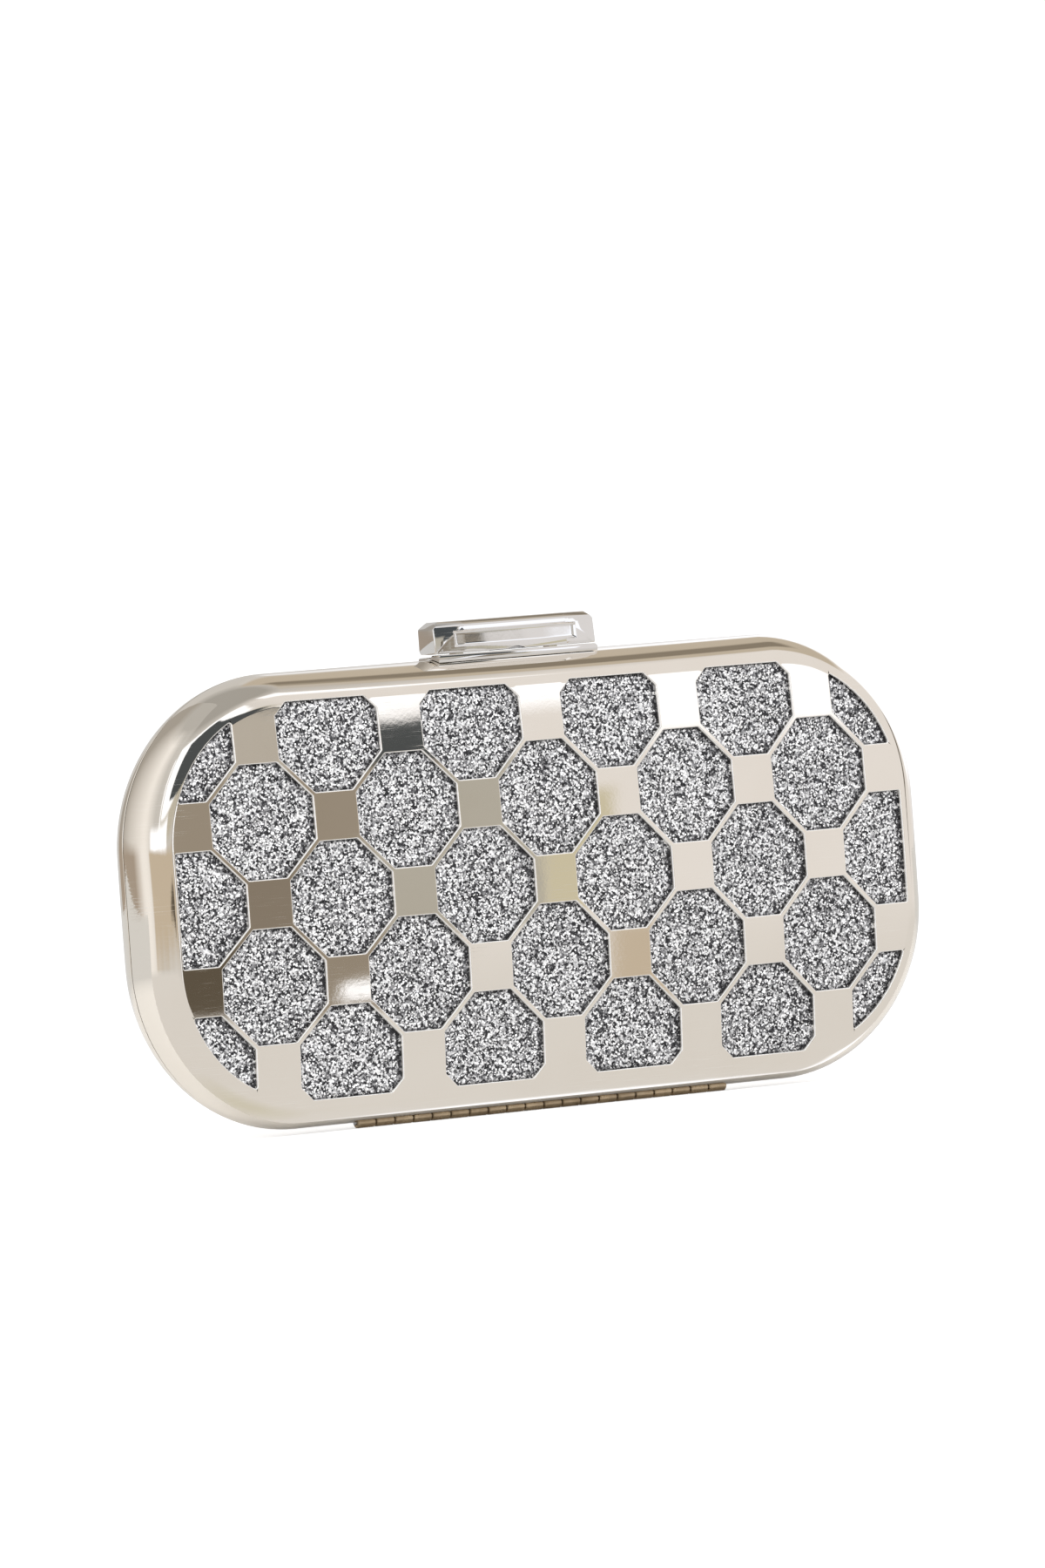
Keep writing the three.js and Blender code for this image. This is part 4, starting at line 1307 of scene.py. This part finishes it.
for x in (-bar["earX"], bar["earX"]):
    # an ear: a post with a rounded head
    outline = [(earBack, ear["bottom"]), (earBack, bar["pivotZ"])]
    for turn in range(ear["step"], 180, ear["step"]):
        outline.append((bar["pivotY"] + ear["radius"] * math.cos(math.radians(turn)),
                        bar["pivotZ"] + ear["radius"] * math.sin(math.radians(turn))))
    outline += [(earFront, bar["pivotZ"]), (earFront, ear["bottom"])]
    left = [made.verts.new(((x - ear["halfWidth"]) * mm, y * mm, z * mm)) for y, z in outline]
    right = [made.verts.new(((x + ear["halfWidth"]) * mm, y * mm, z * mm)) for y, z in outline]
    made.faces.new(left)
    made.faces.new(right[::-1])
    for i in range(len(outline)):
        j = (i + 1) % len(outline)
        made.faces.new((left[i], right[i], right[j], left[j]))
bmesh.ops.recalc_face_normals(made, faces=made.faces[:])
ears = objectOf(meshOf(made, "ears", 35), "ears")
piece = joined("clasp_bracket_with_ears", bracket, ears)
putOn(piece, "rear_half", claspSilver, "clasp_metal", "clasp_bracket")

piece = finishedRod("clasp_hinge_wire", pin["claspRadius"], -pin["claspHalf"], pin["claspHalf"],
                    bar["pivotY"], bar["pivotZ"])
putOn(piece, "rear_half", pinSteel, "steel", "clasp_pin")

# spring tongue: a flat leaf and the lip that drops from its front
tongue = {
    "half": 6.3, "front": -2.5, "leafBack": -0.6, "leafLow": 101.5, "leafHigh": 101.9,
    "lipBack": -2.1, "lipLow": 100.85, "lipHigh": 101.7, "edge": 0.1,
}
made = bmesh.new()
roundedBlock(made, (-tongue["half"], tongue["front"], tongue["leafLow"]),
             (tongue["half"], tongue["leafBack"], tongue["leafHigh"]), tongue["edge"])
roundedBlock(made, (-tongue["half"], tongue["front"], tongue["lipLow"]),
             (tongue["half"], tongue["lipBack"], tongue["lipHigh"]), tongue["edge"])
piece = objectOf(meshOf(made, "tongue", 40), "clasp_spring_tongue")
putOn(piece, "clasp_lever", pinSteel, "steel", "clasp_tongue")


def turnedTree():
    # a shank with a cone head on top, slotted if the slot has a width, for screws and rivets
    tree = bpy.data.node_groups.new("headed_pin", "GeometryNodeTree")
    face = tree.interface
    face.new_socket("Geometry", in_out="INPUT", socket_type="NodeSocketGeometry")
    for name, kind in (("Shank radius", "NodeSocketFloat"), ("Head radius", "NodeSocketFloat"),
                       ("Head height", "NodeSocketFloat"), ("Length", "NodeSocketFloat"),
                       ("Place", "NodeSocketVector"), ("Slot width", "NodeSocketFloat"),
                       ("Material", "NodeSocketMaterial")):
        face.new_socket(name, in_out="INPUT", socket_type=kind)
    face.new_socket("Geometry", in_out="OUTPUT", socket_type="NodeSocketGeometry")
    given = tree.nodes.new("NodeGroupInput")
    shank = node(tree, "GeometryNodeMeshCylinder", Vertices=18, Radius=given.outputs["Shank radius"],
                 Depth=given.outputs["Length"])
    up = node(tree, "ShaderNodeCombineXYZ", Z=maths(tree, "MULTIPLY", given.outputs["Length"], 0.5))
    raised = node(tree, "GeometryNodeTransform", Geometry=shank.outputs[0], Translation=up.outputs[0])
    head = node(tree, "GeometryNodeMeshCone", Vertices=24)
    tree.links.new(maths(tree, "MULTIPLY", given.outputs["Head radius"], 0.75), head.inputs["Radius Bottom"])
    tree.links.new(given.outputs["Head radius"], head.inputs["Radius Top"])
    tree.links.new(given.outputs["Head height"], head.inputs["Depth"])
    down = node(tree, "ShaderNodeCombineXYZ", Z=maths(tree, "MULTIPLY", given.outputs["Head height"], -1.0))
    lowered = node(tree, "GeometryNodeTransform", Geometry=head.outputs[0], Translation=down.outputs[0])
    size = node(tree, "ShaderNodeCombineXYZ", X=maths(tree, "MULTIPLY", given.outputs["Head radius"], 3.0),
                Y=given.outputs["Slot width"], Z=maths(tree, "MULTIPLY", given.outputs["Head height"], 0.8))
    groove = node(tree, "GeometryNodeMeshCube", Size=size.outputs[0])
    sunk = node(tree, "GeometryNodeTransform", Geometry=groove.outputs[0], Translation=down.outputs[0])
    slotted = node(tree, "GeometryNodeMeshBoolean", {"operation": "DIFFERENCE", "solver": "EXACT"})
    tree.links.new(lowered.outputs[0], slotted.inputs["Mesh 1"])
    tree.links.new(sunk.outputs[0], slotted.inputs["Mesh 2"])
    both = node(tree, "GeometryNodeJoinGeometry")
    tree.links.new(slotted.outputs[0], both.inputs[0])
    tree.links.new(raised.outputs[0], both.inputs[0])
    moved = node(tree, "GeometryNodeTransform", Geometry=both.outputs[0], Translation=given.outputs["Place"])
    real = node(tree, "GeometryNodeRealizeInstances", Geometry=moved.outputs[0])
    painted = node(tree, "GeometryNodeSetMaterial", Geometry=real.outputs[0],
                   Material=given.outputs["Material"])
    result = tree.nodes.new("NodeGroupOutput")
    tree.links.new(painted.outputs[0], result.inputs[0])
    return tree


headed = turnedTree()
screws = {
    "x": 14.0, "y": 2.9, "headUnder": 97.0, "headHeight": 0.6, "headRadius": 0.95, "radius": 0.45,
    "length": 2.4, "slot": 0.3,
}
rivets = {
    "x": 4.5, "y": -1.2, "headUnder": 101.0, "headHeight": 0.3, "headRadius": 0.75, "radius": 0.4,
    "length": 2.1,
}
for half, side in (("front", -1), ("rear", 1)):
    for name, x in (("left", -screws["x"]), ("right", screws["x"])):
        place = (x * mm, side * screws["y"] * mm, (screws["headUnder"] + screws["headHeight"]) * mm)
        piece = runNodes(headed, half + "_screw_" + name, bpy.data.meshes.new("screw"), **{
            "Shank radius": screws["radius"] * mm, "Head radius": screws["headRadius"] * mm,
            "Head height": screws["headHeight"] * mm, "Length": screws["length"] * mm,
            "Slot width": screws["slot"] * mm, "Material": pinSteel, "Place": place})
        putOn(piece, halves[half], pinSteel, "steel", half + "_clasp_screw_" + name)
for name, x in (("left", -rivets["x"]), ("right", rivets["x"])):
    place = (x * mm, rivets["y"] * mm, (rivets["headUnder"] + rivets["headHeight"]) * mm)
    piece = runNodes(headed, "tongue_rivet_" + name, bpy.data.meshes.new("rivet"), **{
        "Shank radius": rivets["radius"] * mm, "Head radius": rivets["headRadius"] * mm,
        "Head height": rivets["headHeight"] * mm, "Length": rivets["length"] * mm,
        "Slot width": 0.0, "Material": pinSteel, "Place": place})
    putOn(piece, "clasp_lever", pinSteel, "steel", "clasp_rivet_" + name)

# torsion spring: seven and a half turns on the pin, one leg on the bracket and one in the bar
spring = {
    "turns": 7.5, "steps": 112, "coilRadius": 1.15, "wire": 0.17, "wireSides": 8, "half": 2.4,
    "legEnd": 1.15, "backLegEnd": 4.2, "backLegDrop": 1.13,
}


def makeSpring():
    points = [(-spring["half"], spring["backLegEnd"], bar["pivotZ"] - spring["backLegDrop"])]
    for i in range(spring["steps"] + 1):
        share = i / spring["steps"]
        turn = -math.pi / 2 + 2 * math.pi * spring["turns"] * share
        points.append((-spring["half"] + 2 * spring["half"] * share,
                       bar["pivotY"] + spring["coilRadius"] * math.cos(turn),
                       bar["pivotZ"] + spring["coilRadius"] * math.sin(turn)))
    points.append((spring["half"], spring["legEnd"], bar["pivotZ"] + spring["coilRadius"]))
    points = np.array(points)
    tangent = unit(np.gradient(points, axis=0))
    side = unit(np.cross(tangent, [1.0, 0.02, 0.03]))
    other = np.cross(tangent, side)
    made = bmesh.new()
    rings = []
    for p, a, b in zip(points, side, other):
        rings.append([made.verts.new(tuple((p + spring["wire"] * (a * math.cos(t) + b * math.sin(t))) * mm))
                      for t in np.linspace(0, 2 * math.pi, spring["wireSides"], endpoint=False)])
    for a, b in zip(rings, rings[1:]):
        for i in range(spring["wireSides"]):
            j = (i + 1) % spring["wireSides"]
            made.faces.new((a[i], b[i], b[j], a[j]))
    made.faces.new(rings[0])
    made.faces.new(rings[-1][::-1])
    bmesh.ops.recalc_face_normals(made, faces=made.faces[:])
    return objectOf(meshOf(made, "spring", 50), "clasp_torsion_spring")


putOn(makeSpring(), "rear_half", pinSteel, "steel", "clasp_spring")
print("clasp ready")

# ---- studio: a white floor, soft lights, and the room that the metal mirrors, with colours as it shows them

studio = {
    "floorFront": -0.003, "floorBack": 1.6, "floorHalf": 1.6, "floorGreys": (0.69, 0.71),
    "nearReach": 0.22, "awayReach": 0.42, "away": 0.70, "awaySeen": 0.5, "backdrop": 1.2,
    "keyPower": 3.0, "fillPower": 28.0, "backPower": 14.0, "worldStrength": 1.0, "lift": 0.5,
    "white": (1.2, 1.24, 1.34), "leftWall": (0.62, 0.61, 0.60), "rightWall": (0.82, 0.80, 0.80),
    "ceiling": (0.40, 0.39, 0.375), "ceilingEdge": (0.50, 0.49, 0.475), "shelfHigh": (0.55, 0.52, 0.45),
    "dark": (0.076, 0.085, 0.092), "taupe": (0.33, 0.29, 0.24),
    "darkTaupe": (0.25, 0.215, 0.175), "greyBeige": (0.47, 0.455, 0.415), "yellow": (0.62, 0.58, 0.44),
    "beige": (0.50, 0.47, 0.43), "brown": (0.13, 0.11, 0.085), "table": (0.74, 0.725, 0.715),
    "tableNear": (0.66, 0.64, 0.56), "tanHorizon": (0.58, 0.50, 0.40), "screen": (0.26, 0.225, 0.18),
    "screenTan": (0.55, 0.49, 0.41), "leftNear": (0.93, 0.91, 0.90), "leftFar": (0.40, 0.375, 0.345),
    "leftLow": (0.40, 0.34, 0.285), "stool": (0.115, 0.095, 0.07), "stoolSide": (0.31, 0.27, 0.22),
}


def makeFloor():
    # it ends just in front of the hinge, so that the open half can hang past its edge
    half, front, back = studio["floorHalf"], studio["floorFront"], studio["floorBack"]
    corners = [(-half, front, 0.0), (half, front, 0.0), (half, back, 0.0), (-half, back, 0.0)]
    mesh = bpy.data.meshes.new("studio_floor")
    mesh.from_pydata(corners, [], [(0, 1, 2, 3)])
    floor = objectOf(mesh, "studio_floor")
    material, tree, shader = newMaterial("floor_white")
    cloud = node(tree, "ShaderNodeTexNoise", Vector=objectPlace(tree), Scale=3.0, Detail=2.0).outputs[0]
    darker, paler = studio["floorGreys"]
    tree.links.new(rampOf(tree, cloud, [(0.3, darker), (0.7, paler)]), shader.inputs["Base Color"])
    shader.inputs["Roughness"].default_value = 0.7
    shader.inputs["Specular IOR Level"].default_value = 0.2
    # overexposed for the camera, and evenly bright away from the bag
    seen = tree.nodes.new("ShaderNodeLightPath").outputs["Is Camera Ray"]
    lift = node(tree, "ShaderNodeEmission", Color=(1, 1, 1, 1),
                Strength=maths(tree, "MULTIPLY", seen, studio["lift"]))
    near = node(tree, "ShaderNodeAddShader", i0=shader.outputs[0], i1=lift.outputs[0])
    away = node(tree, "ShaderNodeEmission", Color=(1, 1, 1, 1),
                Strength=maths(tree, "MULTIPLY_ADD", seen, studio["awaySeen"], studio["away"]))
    distance = node(tree, "ShaderNodeVectorMath", {"operation": "LENGTH"}, i0=objectPlace(tree))
    share = rampOf(tree, distance.outputs["Value"], [(studio["nearReach"], 0.0), (studio["awayReach"], 1.0)])
    both = node(tree, "ShaderNodeMixShader", i0=share, i1=near.outputs[0], i2=away.outputs[0])
    output = next(n for n in tree.nodes if n.type == "OUTPUT_MATERIAL")
    tree.links.new(both.outputs[0], output.inputs[0])
    mesh.materials.append(material)
    floor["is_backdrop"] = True


makeFloor()


def areaLight(name, place, aim, size, power):
    data = bpy.data.lights.new(name, "AREA")
    data.shape = "RECTANGLE"
    data.size, data.size_y = size
    data.energy = power
    light = bpy.data.objects.new(name, data)
    scene.collection.objects.link(light)
    light.location = place
    light.rotation_euler = (Vector(aim) - Vector(place)).to_track_quat("-Z", "Y").to_euler()
    light.visible_glossy = False
    light.visible_camera = False


areaLight("overhead", (0.1, -0.2, 1.6), (0, 0, 0), (1.8, 1.8), studio["keyPower"])
areaLight("front_fill", (-0.7, -1.3, 0.9), (0, 0, 0.05), (1.2, 1.2), studio["fillPower"])
areaLight("back_fill", (0.7, 1.3, 0.9), (0, 0, 0.05), (1.2, 1.2), studio["backPower"])


def studioRoom():
    # what the polish mirrors, by direction: azimuth from straight ahead towards the right, and elevation
    world = bpy.data.worlds.new("studio_room")
    scene.world = world
    world.use_nodes = True
    tree = world.node_tree
    tree.nodes.clear()
    where = tree.nodes.new("ShaderNodeTexCoord").outputs["Generated"]
    sway = node(tree, "ShaderNodeTexNoise", Vector=where, Scale=5.0, Detail=2.0).outputs["Color"]
    sway = node(tree, "ShaderNodeVectorMath", {"operation": "MULTIPLY_ADD"}, i0=sway, i1=(0.03, 0.03, 0.03),
                i2=(-0.015, -0.015, -0.015))
    bent = node(tree, "ShaderNodeVectorMath", {"operation": "ADD"}, i0=where, i1=sway.outputs[0])
    part = node(tree, "ShaderNodeSeparateXYZ", Vector=bent.outputs[0])
    x, y, z = part.outputs
    azimuth = maths(tree, "DEGREES", maths(tree, "ARCTAN2", x, maths(tree, "MULTIPLY", y, -1.0)))
    elevation = maths(tree, "DEGREES", maths(tree, "ARCSINE", z))

    def over(value, low, high):
        return maths(tree, "DIVIDE", maths(tree, "SUBTRACT", value, low), high - low, clamp=True)

    def card(behind, colour, soft, *edges):
        # a card with straight edges: each is (how much azimuth counts, how much elevation counts, its limit)
        cover = None
        for a, e, limit in edges:
            reach = maths(tree, "MULTIPLY_ADD", azimuth, a, maths(tree, "MULTIPLY", elevation, e))
            inside = over(reach, limit + soft / 2, limit - soft / 2)
            cover = inside if cover is None else maths(tree, "MULTIPLY", cover, inside)
        return mixOf(tree, cover, behind, colour)

    def box(left, right, low, high):
        return (-1, 0, -left), (1, 0, right), (0, -1, -low), (0, 1, high)

    # the walls and the ceiling
    left = mixOf(tree, over(azimuth, -90, -150), studio["leftNear"], studio["leftFar"])
    left = mixOf(tree, over(azimuth, -84, -62), left, studio["leftWall"])
    leftLow = mixOf(tree, over(azimuth, -92, -112), studio["leftNear"], studio["leftLow"])
    low = maths(tree, "MULTIPLY", over(elevation, 7, 0), over(azimuth, -88, -100))
    left = mixOf(tree, low, left, leftLow)
    room = mixOf(tree, over(azimuth, 5, 30), left, studio["rightWall"])
    room = mixOf(tree, over(azimuth, 128, 150), room, studio["leftWall"])
    room = card(room, studio["ceiling"], 14, (0, -1, -61), (-1, 0, 45))
    room = card(room, studio["ceilingEdge"], 10, (0, -1, -66), (1, 0, -45))
    # left: a white panel, the dark camera bench and the low shelf under it
    room = card(room, studio["shelfHigh"], 4, *box(-47, 24, 6, 24))
    room = card(room, studio["white"], 2, *box(-43, 20, 16, 54))
    room = card(room, studio["white"], 2, *box(-48, -45, 5, 48))
    room = card(room, studio["dark"], 1.2, (-1, 0, 24), (0, 1, 50), (0.82, 0.57, 30.5),
                (-0.27, -0.96, -13.8), (1, 0, 23.5))
    room = card(room, studio["white"], 4, *box(-72, -18, 2.5, 14))
    room = card(room, studio["tanHorizon"], 3, *box(-76, 9, -4, 3))
    room = card(room, studio["brown"], 1.0, (-1, 0, 22), (1, 0, 1), (-0.05, -1, 3.0), (-0.1, 1, 0.2))
    # ahead: what the flat of the case shows
    room = card(room, studio["taupe"], 0.7, *box(17.5, 29.0, -4, 5.0))
    room = card(room, studio["darkTaupe"], 1.0, *box(19.5, 25.3, -6.2, 0.4))
    room = card(room, studio["greyBeige"], 0.5, *box(26.0, 31.2, -4.2, 1.4))
    room = card(room, studio["greyBeige"], 0.5, *box(28.4, 31.4, 0.2, 4.3))
    room = card(room, studio["yellow"], 0.5, *box(31.0, 33.2, -3.6, 2.6))
    room = card(room, studio["dark"], 0.4, *box(25.6, 29.4, 4.6, 6.7))
    room = card(room, studio["beige"], 0.8, *box(18.0, 25.2, 5.0, 8.2))
    room = card(room, studio["dark"], 0.6, *box(13.0, 24.6, 8.0, 10.5))
    room = card(room, studio["white"], 0.7, *box(25.0, 44.0, 6.8, 15.0))
    room = card(room, studio["white"], 1.5, *box(34.0, 44.0, 4.6, 10.0))
    room = card(room, studio["white"], 0.6, *box(13.5, 17.2, -9, 7.6))
    room = card(room, studio["brown"], 0.5, *box(10.8, 12.6, -9, 9))
    # right: a tan screen edged dark, and a window
    room = card(room, studio["white"], 5, *box(104, 146, 1, 30))
    room = card(room, studio["screenTan"], 4, *box(88, 144, 30, 62))
    room = card(room, studio["screen"], 5, *box(106, 127, 44, 60))
    room = card(room, studio["brown"], 2.0, (-0.42, 0.91, -29), (0.42, -0.91, 32.4),
                (-1, 0, -72), (1, 0, 102))
    room = card(room, studio["white"], 3, *box(34, 60, 53, 61))
    # the table
    table = mixOf(tree, over(elevation, -60, -85), studio["table"], studio["tableNear"])
    table = card(table, studio["white"], 6, *box(103, 144, -42, 5))
    table = card(table, studio["brown"], 6, *box(-170, -142, -14, -2))
    room = mixOf(tree, over(elevation, -3.2, -7.2), room, table)
    # low and in front: a dark stool, and a lit card on it
    room = card(room, studio["stool"], 0.7, *box(17.6, 23.5, -7.2, -3.6))
    room = card(room, studio["stoolSide"], 0.6, *box(23.5, 27.8, -7.8, -3.4))
    room = card(room, studio["white"], 0.4, *box(25.2, 27.2, -7.0, -6.0))
    room = card(room, studio["tanHorizon"], 0.7, *box(32.8, 35.0, -8.0, -4.6))
    light = node(tree, "ShaderNodeBackground", Color=room, Strength=studio["worldStrength"])
    plain = node(tree, "ShaderNodeBackground", Color=(1, 1, 1, 1), Strength=studio["backdrop"])
    seen = tree.nodes.new("ShaderNodeLightPath").outputs["Is Camera Ray"]
    both = node(tree, "ShaderNodeMixShader", i0=seen, i1=light.outputs[0], i2=plain.outputs[0])
    output = tree.nodes.new("ShaderNodeOutputWorld")
    tree.links.new(both.outputs[0], output.inputs[0])


studioRoom()
scene.view_settings.view_transform = "Standard"

# ---- camera

view = {
    "turn": 31.3, "rise": 1.8, "roll": 4.16, "distance": 2.549, "lens": 269.0,
    "shiftX": -0.0219, "shiftY": 0.060,
}
turn, rise, roll = (math.radians(view[k]) for k in ("turn", "rise", "roll"))
right = Vector((math.cos(turn), -math.sin(turn), 0))
up = Vector((math.sin(turn) * math.sin(rise), math.cos(turn) * math.sin(rise), math.cos(rise)))
back = Vector((-math.sin(turn) * math.cos(rise), -math.cos(turn) * math.cos(rise), math.sin(rise)))
cameraRight = right * math.cos(roll) - up * math.sin(roll)
cameraUp = right * math.sin(roll) + up * math.cos(roll)
data = bpy.data.cameras.new("camera")
data.sensor_width = 36
data.lens = view["lens"]
data.shift_x, data.shift_y = view["shiftX"], view["shiftY"]
camera = bpy.data.objects.new("camera", data)
scene.collection.objects.link(camera)
aim = Vector((0, -case["halfDepth"] * mm, case["centreHeight"] * mm))
axes = Matrix((cameraRight, cameraUp, back)).transposed()
camera.matrix_world = Matrix.Translation(aim + back * view["distance"]) @ axes.to_4x4()
data.clip_start, data.clip_end = 0.05, 50
scene.camera = camera

bpy.context.view_layer.update()
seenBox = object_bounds()
for name, box in (("cad", cadBox), ("seen", seenBox)):
    print(name, "box in mm", [round(c / mm, 1) for v in box for c in v])
